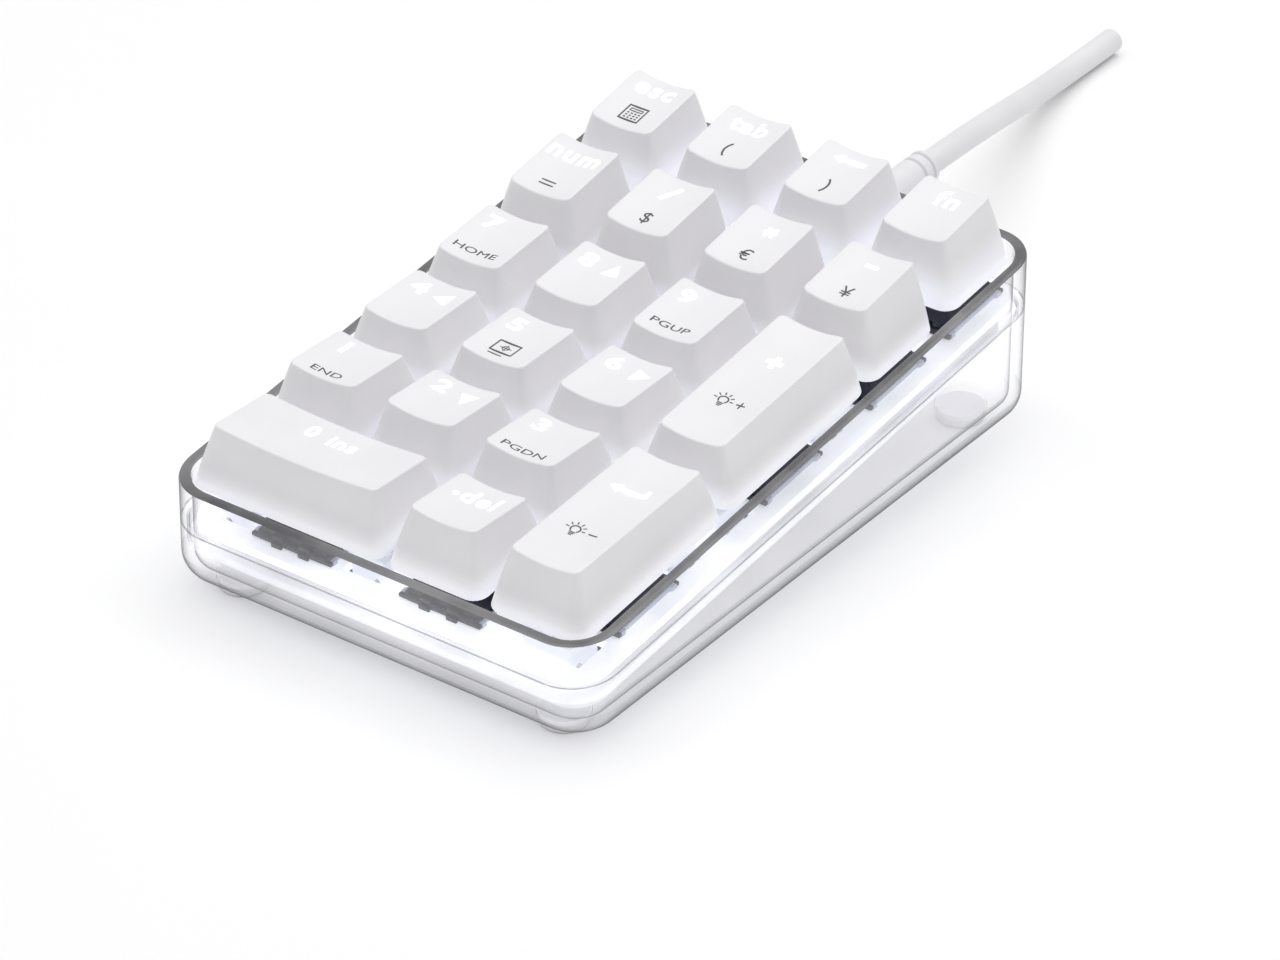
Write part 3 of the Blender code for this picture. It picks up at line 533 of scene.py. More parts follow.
def make_top_frame():
    half = EDGE_ROUND * 0.3
    rings = [
        case_ring(0, seam_height),
        case_ring(0, level(-EDGE_ROUND)),
        case_ring(half, level(-half)),
        case_ring(EDGE_ROUND, level(0)),
        case_ring(WALL - EDGE_ROUND, level(0)),
        case_ring(WALL - half, level(-half)),
        case_ring(WALL, level(-EDGE_ROUND)),
        case_ring(WALL, level(LEDGE_TOP)),
        case_ring(LEDGE_REACH, level(LEDGE_TOP)),
        case_ring(LEDGE_REACH, level(LEDGE_BOTTOM)),
        case_ring(LIP_WALL + GAP, level(LEDGE_BOTTOM)),
        case_ring(LIP_WALL + GAP, seam_height),
    ]
    bm = bmesh.new()
    # Slot 1 (rim) is the rim's top, painted dark as shade; slot 2 (frost) is the ledge
    loft(bm, rings, loop=True, bands=[0, 0, 1, 1, 1, 0, 0, 2, 2, 2, 0, 0])
    mesh = combined(mesh_from(bm, "top_frame_shell"), cable_bore())
    piece = make_piece("case_frame", mesh, "housing", ("frame_wall", "rim", "frost"))
    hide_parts("top_frame")


def make_bottom_case():
    floor_top = CASE_BOTTOM + FLOOR
    rings, bands = [], []
    rings.append(case_ring(BOTTOM_RADIUS, lambda y: CASE_BOTTOM))
    for step in range(1, OUTER_CURVE_STEPS + 1):
        turn = math.pi / 2 * (1 - step / OUTER_CURVE_STEPS)
        inset = BOTTOM_RADIUS * (1 - math.cos(turn))
        height = CASE_BOTTOM + BOTTOM_RADIUS * (1 - math.sin(turn))
        rings.append(case_ring(inset, lambda y, height=height: height))
        bands.append(1)
    rings += [case_ring(0, seam_height), case_ring(SEAM_LINE, seam_height),
              case_ring(LIP_WALL, seam_height),
              case_ring(LIP_WALL, level(LEDGE_BOTTOM - GAP)),
              case_ring(WALL, level(LEDGE_BOTTOM - GAP))]
    bands += [0, 2, 0, 0, 0]
    inner = BOTTOM_RADIUS - WALL
    for step in range(INNER_CURVE_STEPS + 1):
        turn = math.pi / 2 * step / INNER_CURVE_STEPS
        inset = WALL + inner * (1 - math.cos(turn))
        height = floor_top + inner * (1 - math.sin(turn))
        rings.append(case_ring(inset, lambda y, height=height: height))
        bands.append(0 if step == 0 else 1)
    bm = bmesh.new()
    loft(bm, rings, bands=bands)
    # The floor's two faces have a look of their own, with a weaker painted glow
    bm.faces.ensure_lookup_table()
    for face in bm.faces[-2:]:
        face.material_index = 3
    mesh = mesh_from(bm, "bottom_case_shell")

    bosses, holes = bmesh.new(), bmesh.new()
    boss_top = BOARD_BOTTOM - GAP
    for u, v in SCREW_PLACES:
        foot = (CASE_BOTTOM + FLOOR / 2 - RIM_Z - v * math.sin(TILT)) / math.cos(TILT)
        seat = boss_top - SCREW_SEAT_DEPTH
        deep = foot - BOTTOM_RADIUS
        turned(bosses, [(BOSS_RADIUS, foot), (BOSS_RADIUS, boss_top)], 32, (u, v))
        turned(holes, [(SCREW_WELL_RADIUS, deep), (SCREW_WELL_RADIUS, seat),
                       (SCREW_BORE_RADIUS, seat), (SCREW_BORE_RADIUS, boss_top + 1 * MM)],
               24, (u, v))
    posts = mesh_from(bosses, "posts")
    wells = mesh_from(holes, "wells")
    posts.transform(KEY_FRAME)
    wells.transform(KEY_FRAME)
    seats = bmesh.new()
    for x in (-FOOT_X, FOOT_X):
        for y in (-FOOT_Y, FOOT_Y):
            turned(seats, [(FOOT_SEAT_RADIUS, -1 * MM),
                           (FOOT_SEAT_RADIUS, CASE_BOTTOM + FOOT_SEAT_DEPTH)], 40, (x, y))
    seat_mesh = mesh_from(seats, "seats")
    mesh = combined(mesh, [(posts, "UNION"), (wells, "DIFFERENCE"), (seat_mesh, "DIFFERENCE")]
                    + cable_bore())
    piece = make_piece("case_tray", mesh, "housing", ("tray_wall", "fillet", "seam", "tray_base"))
    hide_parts("bottom_case")


# Keycaps

# Heights of each row's tops above the skirt, at the front and back edges
HEIGHTS = {
    "top": (11.15 * MM, 12.05 * MM), "upper": (11.3 * MM, 12.1 * MM),
    "high": (9.65 * MM, 9.45 * MM), "middle": (9.65 * MM, 8.3 * MM),
    "low": (10.3 * MM, 8.4 * MM), "front": (10.2 * MM, 8.15 * MM),
    "plus": (9.65 * MM, 9.8 * MM), "enter": (10.25 * MM, 8.9 * MM),
}
# How far each row's tops lie in from the skirt, at the sides, front and back
TAPERS = {
    "top": (3.05 * MM, 3.15 * MM, 1.4 * MM), "upper": (3.1 * MM, 3.1 * MM, 0.65 * MM),
    "high": (3.0 * MM, 3.1 * MM, 0.7 * MM), "middle": (3.0 * MM, 3.1 * MM, 0.75 * MM),
    "low": (2.6 * MM, 3.9 * MM, 1.25 * MM), "front": (2.8 * MM, 3.95 * MM, 0.9 * MM),
    "plus": (3.0 * MM, 3.1 * MM, 1.1 * MM), "enter": (2.75 * MM, 3.9 * MM, 1.5 * MM),
}
KEYS_OF_ROW = {
    "top": ("escape", "tab", "backspace", "function"),
    "upper": ("num_lock", "divide", "multiply", "minus"),
    "high": ("7", "8", "9"), "middle": ("4", "5", "6"), "low": ("1", "2", "3"),
    "front": ("0", "decimal"), "plus": ("plus",), "enter": ("enter",),
}


class Cap:
    """The sides and top surface of a keycap, in a frame at the middle of its skirt."""

    def __init__(self, key, row):
        self.key = key
        points = node_points("keycap_" + key)
        low, high = points.min(axis=0), points.max(axis=0)
        self.matrix = TURN @ Matrix.Translation(
            ((low[0] + high[0]) / 2, (low[1] + high[1]) / 2, RIM_W + SKIRT))
        half_u, half_v = (high[0] - low[0]) / 2, (high[1] - low[1]) / 2
        self.base = (-half_u, half_u, -half_v, half_v)
        in_side, in_front, in_back = TAPERS[row]
        self.top = (-half_u + in_side, half_u - in_side, -half_v + in_front, half_v - in_back)
        self.heights = HEIGHTS[row]
        self.long = max(half_u, half_v) > PITCH * 0.7
        self.upright = half_v > half_u * 1.5

    def surface(self, u, v):
        left, right, front, back = self.top
        along = (v - front) / (back - front)
        across = min(1.0, abs(u) / ((right - left) / 2))
        front_height, back_height = self.heights
        return front_height + (back_height - front_height) * along - DISH * (1 - across ** 2)


def cap_mesh(cap):
    steps, straights = 6, 8

    def outline(sides, radius):
        return rounded_rectangle(sides, radius, steps, straights)

    base = outline(cap.base, CAP_BASE_RADIUS)
    shoulder = outline(cap.top, CAP_TOP_RADIUS)
    drop = CAP_EDGE * 0.9

    def outer(share, inset=0.0):
        ring = []
        for (bu, bv), (tu, tv) in zip(base, shoulder):
            top = cap.surface(tu, tv) - drop
            bulge = CAP_BULGE * math.sin(math.pi * share)
            u = bu + (tu - bu) * share
            v = bv + (tv - bv) * share
            u += math.copysign(bulge, u) - math.copysign(inset, u)
            v += math.copysign(bulge, v) - math.copysign(inset, v)
            ring.append((u, v, top * share))
        return ring

    inner_roof = min(cap.heights) - DISH - CAP_ROOF
    inner_top = inset_sides(cap.top, CAP_WALL)
    inner_base = inset_sides(cap.base, CAP_WALL)
    rings = [[(u, v, inner_roof) for u, v in outline(inner_top, CAP_INNER_TOP_RADIUS)],
             [(u, v, 0.0) for u, v in outline(inner_base, CAP_INNER_BASE_RADIUS)],
             outer(0.0, CAP_SKIRT_EDGE)]
    rings += [outer(share) for share in (0.02, 0.25, 0.5, 0.75, 1.0)]
    for step in range(1, 5):
        turn = math.pi / 2 * step / 4
        inset = CAP_EDGE * (1 - math.cos(turn))
        lift = drop * math.sin(turn)
        sides = inset_sides(cap.top, inset)
        rings.append([(u, v, cap.surface(u, v) - drop + lift)
                      for u, v in outline(sides, CAP_TOP_RADIUS - inset)])
    left, right, front, back = inset_sides(cap.top, CAP_EDGE)
    middle_u, middle_v = (left + right) / 2, (front + back) / 2
    edge = outline((left, right, front, back), CAP_TOP_RADIUS - CAP_EDGE)
    for share in (0.85, 0.68, 0.5, 0.32, 0.15):
        rings.append([(middle_u + (u - middle_u) * share, middle_v + (v - middle_v) * share,
                       cap.surface(middle_u + (u - middle_u) * share,
                                   middle_v + (v - middle_v) * share)) for u, v in edge])
    bm = bmesh.new()
    loft(bm, rings)
    turned(bm, [(POST_RADIUS, POST_BOTTOM), (POST_RADIUS, inner_roof + 0.2 * MM)], 24)
    if cap.long:
        add_legs(bm, cap, inner_roof + 0.2 * MM)
    return mesh_from(bm, "keycap_mesh_" + cap.key)


def add_legs(bm, cap, roof):
    """Two sliders under a long cap, each with a window for the stabiliser wire's hook."""
    plate = PLATE_TOP - SKIRT
    for side in (-1, 1):
        centre = side * STAB_ACROSS
        outer = (-2.1 * MM, 3.1 * MM, plate - 0.4 * MM, roof)
        window = (-1.25 * MM, 2.25 * MM, plate + 0.4 * MM, plate + 2.4 * MM)
        rings = []
        for across, (front, back, low, high) in (
                (-LEG_HALF_WIDTH, outer), (LEG_HALF_WIDTH, outer),
                (LEG_HALF_WIDTH, window), (-LEG_HALF_WIDTH, window)):
            ring = [(centre + across, front, low), (centre + across, back, low),
                    (centre + across, back, high), (centre + across, front, high)]
            if cap.upright:
                ring = [(-v, u, w) for u, v, w in ring]
            rings.append(ring)
        loft(bm, rings, loop=True)


# Legends: flat shapes in a cap's (u, v) plane, in millimetres

TRIANGLE_SIZE = 2.0


def text_shape(text, centre, size, bold=0.0, stretch=1.0, spacing=1.0):
    """Points and faces of a line of text, centred on a point."""
    curve = bpy.data.curves.new("legend_text", "FONT")
    curve.body = text
    curve.size = size
    curve.offset = bold
    curve.space_character = spacing
    curve.resolution_u = 4
    obj = bpy.data.objects.new("legend_text", curve)
    bpy.context.scene.collection.objects.link(obj)
    bpy.context.view_layer.update()
    evaluated = obj.evaluated_get(bpy.context.evaluated_depsgraph_get())
    mesh = bpy.data.meshes.new_from_object(evaluated)
    bm = bmesh.new()
    bm.from_mesh(mesh)
    bmesh.ops.remove_doubles(bm, verts=bm.verts, dist=0.001)
    points = np.array([vert.co[:2] for vert in bm.verts])
    faces = [[vert.index for vert in face.verts] for face in bm.faces]
    bm.free()
    bpy.data.objects.remove(obj, do_unlink=True)
    points[:, 0] *= stretch
    middle = (points.min(axis=0) + points.max(axis=0)) / 2
    return points - middle + np.array(centre), faces


def polygon(*points):
    return np.array(points, float), [list(range(len(points)))]


def bar(start, end, thickness):
    """A straight stroke between two points."""
    a, b = Vector(start), Vector(end)
    along = (b - a).normalized()
    side = Vector((-along.y, along.x)) * thickness / 2
    return polygon(a - side, b - side, b + side, a + side)


def strokes(points, thickness, closed=False):
    """Bars through a run of points."""
    ends = points[1:] + points[:1] if closed else points[1:]
    grow = thickness / 2
    made = []
    for a, b in zip(points, ends):
        along = (Vector(b) - Vector(a)).normalized() * grow
        made.append(bar(Vector(a) - along, Vector(b) + along, thickness))
    return made


def arc(centre, radius, start, end, thickness, steps=10):
    turns = [math.radians(start + (end - start) * i / steps) for i in range(steps + 1)]
    inner = [(centre[0] + (radius - thickness / 2) * math.cos(t),
              centre[1] + (radius - thickness / 2) * math.sin(t)) for t in turns]
    outer = [(centre[0] + (radius + thickness / 2) * math.cos(t),
              centre[1] + (radius + thickness / 2) * math.sin(t)) for t in turns]
    return [polygon(inner[i], outer[i], outer[i + 1], inner[i + 1]) for i in range(steps)]


def bulb(centre, sign):
    """A lamp bulb with rays, and a plus or a minus beside it."""
    u, v = centre
    made = arc((u, v), 0.8, -50, 230, 0.26, 14)
    made += [bar((u - 0.55, v - 0.85), (u + 0.55, v - 0.85), 0.22),
             bar((u - 0.45, v - 1.2), (u + 0.45, v - 1.2), 0.22),
             bar((u - 0.3, v - 1.55), (u + 0.3, v - 1.55), 0.22)]
    for turn in (0, 36, 72, 108, 144, 180):
        t = math.radians(turn)
        made.append(bar((u + 1.15 * math.cos(t), v + 1.15 * math.sin(t)),
                        (u + 1.75 * math.cos(t), v + 1.75 * math.sin(t)), 0.2))
    made.append(bar((u + 2.4, v), (u + 4.0, v), 0.26))
    if sign == "+":
        made.append(bar((u + 3.2, v - 0.8), (u + 3.2, v + 0.8), 0.26))
    return made


def calculator(centre):
    u, v = centre
    made = strokes([(u - 1.8, v - 1.8), (u + 1.8, v - 1.8), (u + 1.8, v + 1.8), (u - 1.8, v + 1.8)],
                   0.28, closed=True)
    made += strokes([(u - 1.15, v + 0.65), (u + 1.15, v + 0.65), (u + 1.15, v + 1.2),
                     (u - 1.15, v + 1.2)], 0.18, closed=True)
    for row in (0.05, -0.55, -1.15):
        for spot in (-1.05, -0.35, 0.35, 1.05):
            made.append(bar((u + spot - 0.2, v + row), (u + spot + 0.2, v + row), 0.3))
    return made


def screen(centre):
    """A monitor with a small mark inside it."""
    u, v = centre
    made = strokes([(u - 2.0, v - 1.3), (u + 2.0, v - 1.3), (u + 2.0, v + 1.7), (u - 2.0, v + 1.7)],
                   0.26, closed=True)
    made.append(bar((u - 1.8, v - 2.1), (u + 0.8, v - 2.1), 0.2))
    made += arc((u, v + 0.2), 0.55, 0, 360, 0.16, 16)
    made += [bar((u - 1.1, v + 0.2), (u + 1.1, v + 0.2), 0.14),
             bar((u, v - 0.7), (u, v + 1.1), 0.14)]
    return made


def triangle(centre, turn):
    """A pointer: it points up, and then turns by so many degrees."""
    spots = []
    for corner in (90, 215, 325):
        t = math.radians(corner + turn)
        spots.append((centre[0] + TRIANGLE_SIZE * math.cos(t),
                      centre[1] + TRIANGLE_SIZE * math.sin(t)))
    return [polygon(*spots)]


def arrow_left(centre, length, thickness, hook=0.0):
    u, v = centre
    made = [bar((u - length / 2 + 1.0, v), (u + length / 2, v), thickness),
            polygon((u - length / 2, v), (u - length / 2 + 1.7, v - 1.15),
                    (u - length / 2 + 1.7, v + 1.15))]
    if hook:
        made.append(bar((u + length / 2 - thickness / 2, v),
                        (u + length / 2 - thickness / 2, v + hook), thickness))
    return made


DIGIT = (-2.8, 4.6)
SIDE_MARK = (2.4, 3.75)
WORD = (-0.45, -3.1)
BOLD = 0.13
WORD_BOLD = 0.11


def digit(text):
    return [text_shape(text, DIGIT, 4.6, BOLD, stretch=1.2)]


def word(text):
    return [text_shape(text, WORD, 2.0, stretch=1.5)]


def bright_word(text, centre, size):
    return text_shape(text, centre, size, WORD_BOLD, spacing=1.14)


# Each key's bright shapes and its grey shapes
LEGENDS = {
    "escape": ([bright_word("esc", (-0.25, 4.4), 5.2)], calculator((-0.1, -1.85))),
    "tab": ([bright_word("tab", (-0.3, 4.35), 4.9)], arc((1.8, -2.1), 2.6, 140, 220, 0.34)),
    "backspace": (arrow_left((-0.1, 4.7), 6.0, 0.85), arc((-2.4, -2.1), 2.6, -40, 40, 0.34)),
    "function": ([bright_word("fn", (0.2, 4.2), 5.4)], []),
    "num_lock": ([bright_word("num", (-0.4, 4.3), 5.2)],
                 [bar((-1.8, -2.5), (1.0, -2.5), 0.24), bar((-1.8, -3.4), (1.0, -3.4), 0.24)]),
    "divide": ([bar((-1.4, 2.5), (0.8, 6.2), 0.8)], [text_shape("$", (-0.2, -2.6), 3.6)]),
    "multiply": (strokes([(-0.6, 4.0), (1.2, 4.0)], 0.6)
                 + strokes([(-0.3, 3.2), (0.9, 4.9)], 0.6)
                 + strokes([(0.9, 3.2), (-0.3, 4.9)], 0.6), [text_shape("€", (-0.1, -2.4), 3.6)]),
    "minus": ([bar((-1.0, 4.7), (1.3, 4.7), 0.75)], [text_shape("¥", (0.1, -2.4), 3.6)]),
    "7": (digit("7"), word("HOME")),
    "8": (digit("8") + triangle(SIDE_MARK, 0), []),
    "9": (digit("9"), word("PGUP")),
    "plus": ([bar((-1.6, 7.0), (1.4, 7.0), 0.85), bar((-0.1, 5.5), (-0.1, 8.5), 0.85)],
             bulb((-1.4, -4.8), "+")),
    "4": (digit("4") + triangle(SIDE_MARK, 90), []),
    "5": (digit("5"), screen((-0.2, -2.0))),
    "6": (digit("6") + triangle(SIDE_MARK, -90), []),
    "1": (digit("1"), word("END")),
    "2": (digit("2") + triangle(SIDE_MARK, 180), []),
    "3": (digit("3"), word("PGDN")),
    "enter": (arrow_left((-0.4, 7.2), 6.6, 0.75, 1.7), bulb((-1.4, -4.8), "-")),
    "0": ([text_shape("0", (-3.4, 4.0), 4.2, BOLD), bright_word("ins", (2.8, 3.6), 4.3)], []),
    "decimal": ([text_shape(".", (-3.6, 3.0), 6.5, BOLD), bright_word("del", (0.6, 3.7), 5.0)],
                []),
}


def legend_mesh(cap, bright, grey):
    """Legends laid on the cap's dished top as thin closed solids."""
    bm = bmesh.new()
    for slot, shapes in enumerate((bright, grey)):
        for points, faces in shapes:
            flat = points * MM
            upper = [bm.verts.new((u, v, cap.surface(u, v) + LEGEND_LIFT)) for u, v in flat]
            lower = [bm.verts.new((u, v, cap.surface(u, v) - LEGEND_SINK)) for u, v in flat]
            uses = {}
            for face in faces:
                bm.faces.new([upper[i] for i in face]).material_index = slot
                bm.faces.new([lower[i] for i in reversed(face)]).material_index = slot
                for a, b in zip(face, face[1:] + face[:1]):
                    uses[(a, b)] = uses.get((a, b), 0) + 1
            for a, b in uses:
                if (b, a) not in uses:
                    wall = bm.faces.new((upper[b], upper[a], lower[a], lower[b]))
                    wall.material_index = slot
    return mesh_from(bm, "legend_mesh_" + cap.key)


def make_keycaps():
    for row, keys in KEYS_OF_ROW.items():
        for key in keys:
            cap = Cap(key, row)
            # The rear row takes the copy of the keycap look with the stronger painted glow
            look = "keycap_rear_stronger_glow" if key in KEYS_OF_ROW["top"] else "keycap"
            piece = make_piece("cap_" + key, cap_mesh(cap), "key_" + key, (look,), cap.matrix,
                               smooth_angle=50)
            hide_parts("keycap_" + key)
            bright, grey = LEGENDS[key]
            legend = make_piece("legend_" + key, legend_mesh(cap, bright, grey), "key_" + key,
                                ("legend_white_glow", "legend_ink"), cap.matrix)


# Switches and board

def key_places():
    """Each key's middle in the key frame, from the switch stems."""
    return {key: switch_place(key) for keys in KEYS_OF_ROW.values() for key in keys}


def switch_place(key):
    points = node_points("switch_stem_" + key)
    low, high = points.min(axis=0), points.max(axis=0)
    origin = KEY_FRAME.inverted() @ (TURN @ Vector(((low[0] + high[0]) / 2,
                                                    (low[1] + high[1]) / 2, 0)))
    return origin.x, origin.y


def housing_rings(place):
    u, v = place

    def ring(half_u, half_v, height, radius):
        sides = (u - half_u * MM, u + half_u * MM, v - half_v * MM, v + half_v * MM)
        outline = rounded_rectangle(sides, radius * MM, steps=3)
        return [(x, y, PLATE_TOP + height * MM) for x, y in outline]
    return [ring(*row) for row in HOUSING_PROFILE]


def side_lip(bm, place, side):
    """A pale lip along a switch flange's side, thicker at its two ends."""
    u, v = place
    outline = LIP_OUTLINE
    if side < 0:
        outline = [(-du, dv) for du, dv in reversed(outline)]
    loft(bm, [[(u + du * MM, v + dv * MM, PLATE_TOP + height * MM) for du, dv in outline]
              for height in LIP_HEIGHTS])


def make_switches(places):
    housings, lamps, joints, lips = bmesh.new(), bmesh.new(), bmesh.new(), bmesh.new()
    for u, v in places.values():
        loft(housings, housing_rings((u, v)))
        for side in (-1, 1):
            middle = u + side * CLIP_ACROSS
            block(housings, (middle - CLIP_HALF_WIDTH, middle + CLIP_HALF_WIDTH,
                             v - CLIP_FRONT, v - CLIP_BACK),
                  PLATE_TOP + CLIP_LOW, PLATE_TOP + CLIP_HIGH)
            for edge in (-1, 1):
                tab = v + edge * TAB_PLACE
                block(housings, (middle - TAB_HALF_WIDTH, middle + TAB_HALF_WIDTH,
                                 tab - TAB_HALF_DEPTH, tab + TAB_HALF_DEPTH),
                      PLATE_TOP + TAB_LOW, PLATE_TOP + TAB_HIGH)
            side_lip(lips, (u, v), side)
            bar_v = v + side * BAR_PLACE
            block(housings, (u - BAR_HALF_WIDTH, u + BAR_HALF_WIDTH,
                             bar_v - BAR_HALF_DEPTH, bar_v + BAR_HALF_DEPTH),
                  PLATE_TOP + GAP, PLATE_TOP + BAR_HIGH)
        turned(lamps, [(radius * MM, PLATE_TOP + height * MM) for radius, height in LAMP_PROFILE],
               20, (u, v + LAMP_PLACE))
        for du, dv, radius in SOLDER_PLACES:
            size = radius * MM
            turned(joints, [(size, BOARD_BOTTOM + 0.1 * MM), (size, BOARD_BOTTOM - 0.1 * MM),
                            (size * 0.5, BOARD_BOTTOM - 0.5 * MM),
                            (size * 0.35, BOARD_BOTTOM - 0.9 * MM)],
                   16, (u + du * MM, v + dv * MM))
    for name, bm, key in (("switch_housings", housings, "housing"), ("key_lamps", lamps, "lamp"),
                          ("solder_joints", joints, "solder"), ("switch_lips", lips, "pale")):
        piece = make_piece(name, mesh_from(bm, name), "housing", (key,), KEY_FRAME)


def mirrored(sides):
    left, right, front, back = sides
    return -right, -left, front, back


def stabiliser_solid(bm, place, upright):
    """Two open boxes beside a long key's switch, which guide the cap's sliders."""
    u, v = place
    for side in (-1, 1):
        sides, pocket = STAB_BOX, STAB_POCKET
        if side < 0:
            sides, pocket = mirrored(sides), mirrored(pocket)
        rings = []
        for (left, right, front, back), height, radius in (
                (sides, BOARD_TOP, 0.4), (sides, PLATE_TOP + 2.5 * MM, 0.4),
                (inset_sides(sides, 0.25 * MM), PLATE_TOP + 2.8 * MM, 0.3),
                (pocket, PLATE_TOP + 2.8 * MM, 0.2), (pocket, PLATE_TOP - 4.7 * MM, 0.2)):
            ring = []
            for x, y in rounded_rectangle((left, right, front, back), radius * MM, steps=2):
                x += side * STAB_ACROSS
                ring.append((u - y, v + x, height) if upright else (u + x, v + y, height))
            rings.append(ring)
        loft(bm, rings)


def make_board(places):
    sheet = bmesh.new()

    def ring(inset, height):
        outline = rounded_rectangle(inset_sides(BOARD_SIDES, inset), BOARD_RADIUS - inset)
        return [(x, y, height) for x, y in outline]
    loft(sheet, [ring(BOARD_BEVEL, BOARD_BOTTOM), ring(0, BOARD_BOTTOM + BOARD_BEVEL),
                 ring(0, BOARD_TOP - BOARD_BEVEL), ring(BOARD_BEVEL, BOARD_TOP)])
    holes = bmesh.new()
    for place in SCREW_PLACES:
        turned(holes, [(SCREW_BORE_RADIUS, BOARD_BOTTOM - 1 * MM),
                       (SCREW_BORE_RADIUS, BOARD_TOP + 1 * MM)], 20, place)
    mesh = combined(mesh_from(sheet, "board"), [(mesh_from(holes, "board_holes"), "DIFFERENCE")])
    board = make_piece("board", mesh, "housing", ("board",), KEY_FRAME)
    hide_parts("circuit_board")

    parts = bmesh.new()
    block(parts, (-2.5 * MM, 7.5 * MM, 36 * MM, 41 * MM), BOARD_TOP - 0.1 * MM, BOARD_TOP + 3 * MM,
          0.4 * MM, slot=1)
    under = Matrix.Diagonal((1, 1, -1, 1))
    chips = bmesh.new()
    block(chips, (-5 * MM, 5 * MM, 0, 10 * MM), -BOARD_BOTTOM - 0.1 * MM, -BOARD_BOTTOM + 1.2 * MM,
          0.25 * MM)
    for step in range(-5, 6):
        spot = step * 0.8 * MM
        for side in (-1, 1):
            near, far = sorted((side * 5 * MM, side * 6 * MM))
            block(chips, (near, far, 5 * MM + spot - 0.15 * MM, 5 * MM + spot + 0.15 * MM),
                  -BOARD_BOTTOM - 0.05 * MM, -BOARD_BOTTOM + 0.25 * MM, 0.05 * MM, slot=2)
    for u, v in places.values():
        block(chips, (u + 4.6 * MM, u + 6.2 * MM, v - 4.2 * MM, v - 3.4 * MM),
              -BOARD_BOTTOM - 0.05 * MM, -BOARD_BOTTOM + 0.45 * MM, 0.08 * MM)
    bmesh.ops.transform(chips, matrix=under, verts=chips.verts)
    for name, bm in (("board_socket", parts), ("board_chips", chips)):
        piece = make_piece(name, mesh_from(bm, name), "housing", ("chip", "board", "solder"),
                           KEY_FRAME)

    guides = bmesh.new()
    for key, upright in (("0", False), ("plus", True), ("enter", True)):
        stabiliser_solid(guides, places[key], upright)
    piece = make_piece("stabiliser_guides", mesh_from(guides, "guides"), "housing",
                       ("stabiliser",), KEY_FRAME)


# Feet, boot and cable

def make_feet():
    for end, y in (("rear", FOOT_Y), ("front", -FOOT_Y)):
        for side, x in (("left", -FOOT_X), ("right", FOOT_X)):
            name = f"{end}_{side}"
            bm = bmesh.new()
            turned(bm, [(radius * MM, height * MM) for radius, height in FOOT_PROFILE], 48)
            piece = make_piece("foot_" + name, mesh_from(bm, "foot"), "housing", ("foot",),
                               Matrix.Translation((x, y, 0)))
            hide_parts("rubber_foot_" + name)


def make_boot():
    """The strain relief, from an outline in millimetres: a tube with two grooves at its tip."""
    tip, ring, groove = 23.0, 1.2, 0.25
    outline = [(2.55, tip), (2.85, tip - 0.15), (3.0, tip - 0.35)]
    for index in range(2):
        start = tip - ring * (2 * index + 1)
        outline += [(3.0, start + 0.1), (2.85, start), (2.55, start - 0.05),
                    (2.55, start - 2 * groove + 0.05), (2.85, start - 2 * groove),
                    (3.0, start - 2 * groove - 0.1)]
    outline += [(2.97, 12.0), (2.97, 2.5), (3.25, 1.9), (3.7, 1.3), (3.7, 0.3), (2.95, 0.3),
                (2.95, -2.3), (3.7, -2.3), (3.7, -3.3), (2.45, -3.3), (2.45, tip)]
    bm = bmesh.new()
    turned(bm, [(radius * MM, height * MM) for radius, height in outline], 48, loop=True)
    piece = make_piece("boot", mesh_from(bm, "boot"), "housing", ("cable",), boot_place())
    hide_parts("cable_boot")


def cable_centre(fraction):
    ease = fraction ** 2 * (3 - 2 * fraction)
    start_z = seam_height(DEPTH / 2)
    drop = start_z - CABLE_RADIUS - GAP
    return Vector((CABLE_X + CABLE_SWAY * ease,
                   DEPTH / 2 + BOOT_LENGTH + CABLE_RUN * fraction, start_z - drop * ease))


def make_cable():
    centres = [Vector((CABLE_X, DEPTH / 2 - CABLE_INSIDE, seam_height(DEPTH / 2)))]
    centres += [cable_centre(step / CABLE_STEPS) for step in range(CABLE_STEPS + 1)]
    centres.append(centres[-1] + Vector((0, CABLE_TAIL, 0)))
    rings = []
    for index, centre in enumerate(centres):
        before = centres[max(index - 1, 0)]
        after = centres[min(index + 1, len(centres) - 1)]
        along = (after - before).normalized()
        side = along.cross(Vector((0, 0, 1))).normalized()
        up = side.cross(along)
        ring = []
        for step in range(CABLE_SIDES):
            turn = 2 * math.pi * step / CABLE_SIDES
            spot = centre + (side * math.cos(turn) + up * math.sin(turn)) * CABLE_RADIUS
            ring.append(tuple(spot))
        rings.append(ring)
    bm = bmesh.new()
    loft(bm, rings)
    piece = make_piece("cord", mesh_from(bm, "cord"), "housing", ("cable",))
    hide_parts("cable")


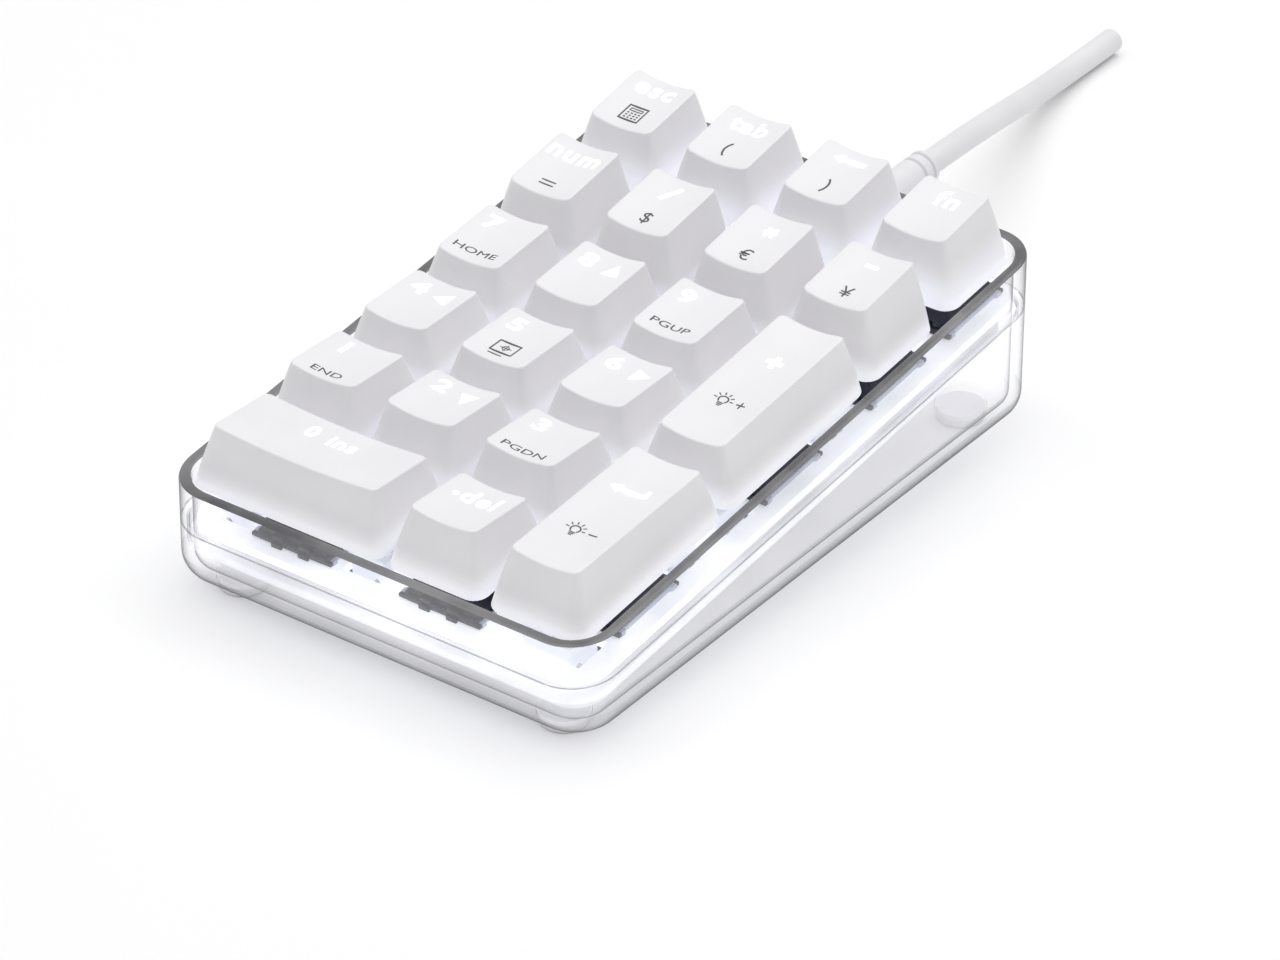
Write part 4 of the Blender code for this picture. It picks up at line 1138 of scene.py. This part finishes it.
def dress_cad_nodes():
    """Materials for the CAD nodes that show as they are."""
    for name, obj in frame["nodes"].items():
        for start, key in (("switch_stem_", "stem"), ("stabiliser_wire_", "steel"),
                           ("case_screw_", "steel"), ("switch_plate", "plate")):
            if name.startswith(start):
                for slot in obj.material_slots:
                    slot.material = MATERIALS[key]


# Studio

def area_light(name, place, target, size, power):
    data = bpy.data.lights.new(name, "AREA")
    data.shape = "RECTANGLE"
    data.size, data.size_y = size
    data.energy = power
    obj = bpy.data.objects.new(name, data)
    bpy.context.scene.collection.objects.link(obj)
    obj.location = place
    obj.rotation_euler = (Vector(target) - Vector(place)).to_track_quat("-Z", "Y").to_euler()


def make_studio():
    scene = bpy.context.scene
    scene.view_settings.view_transform = "Standard"
    bm = bmesh.new()
    bmesh.ops.create_grid(bm, x_segments=1, y_segments=1, size=6.0)
    mesh = mesh_from(bm, "floor", recalc=False)
    floor = bpy.data.objects.new("floor", mesh)
    scene.collection.objects.link(floor)
    mesh.materials.append(plastic("floor", (0.95, 0.95, 0.95), (0.94, 0.94, 0.94), (0.6, 0.7),
                                  grain=300.0, blotch=4.0))

    world = bpy.data.worlds.new("studio")
    scene.world = world
    world.use_nodes = True
    background = world.node_tree.nodes["Background"]
    background.inputs["Color"].default_value = (1.0, 1.0, 1.0, 1)
    background.inputs["Strength"].default_value = 0.54

    area_light("overhead", (0.05, 0.15, 1.0), (0, 0, 0), (1.2, 1.2), 7.5)
    area_light("front_left", (-0.9, -0.6, 0.8), (0, 0, 0.02), (0.7, 0.7), 1.0)


def make_camera():
    data = bpy.data.cameras.new("camera")
    data.lens = CAMERA_LENS
    data.sensor_width = 36.0
    data.clip_start, data.clip_end = 0.05, 30.0
    camera = bpy.data.objects.new("camera", data)
    bpy.context.scene.collection.objects.link(camera)
    right, up = Vector(CAMERA_RIGHT), Vector(CAMERA_UP)
    back = right.cross(up)
    turn = Matrix((right, up, back)).transposed()
    camera.matrix_world = Matrix.Translation(CAMERA_PLACE) @ turn.to_4x4()
    bpy.context.scene.camera = camera


make_top_frame()
make_bottom_case()
make_keycaps()
switch_places = key_places()
make_switches(switch_places)
make_board(switch_places)
make_feet()
make_boot()
make_cable()
dress_cad_nodes()
make_studio()
make_camera()
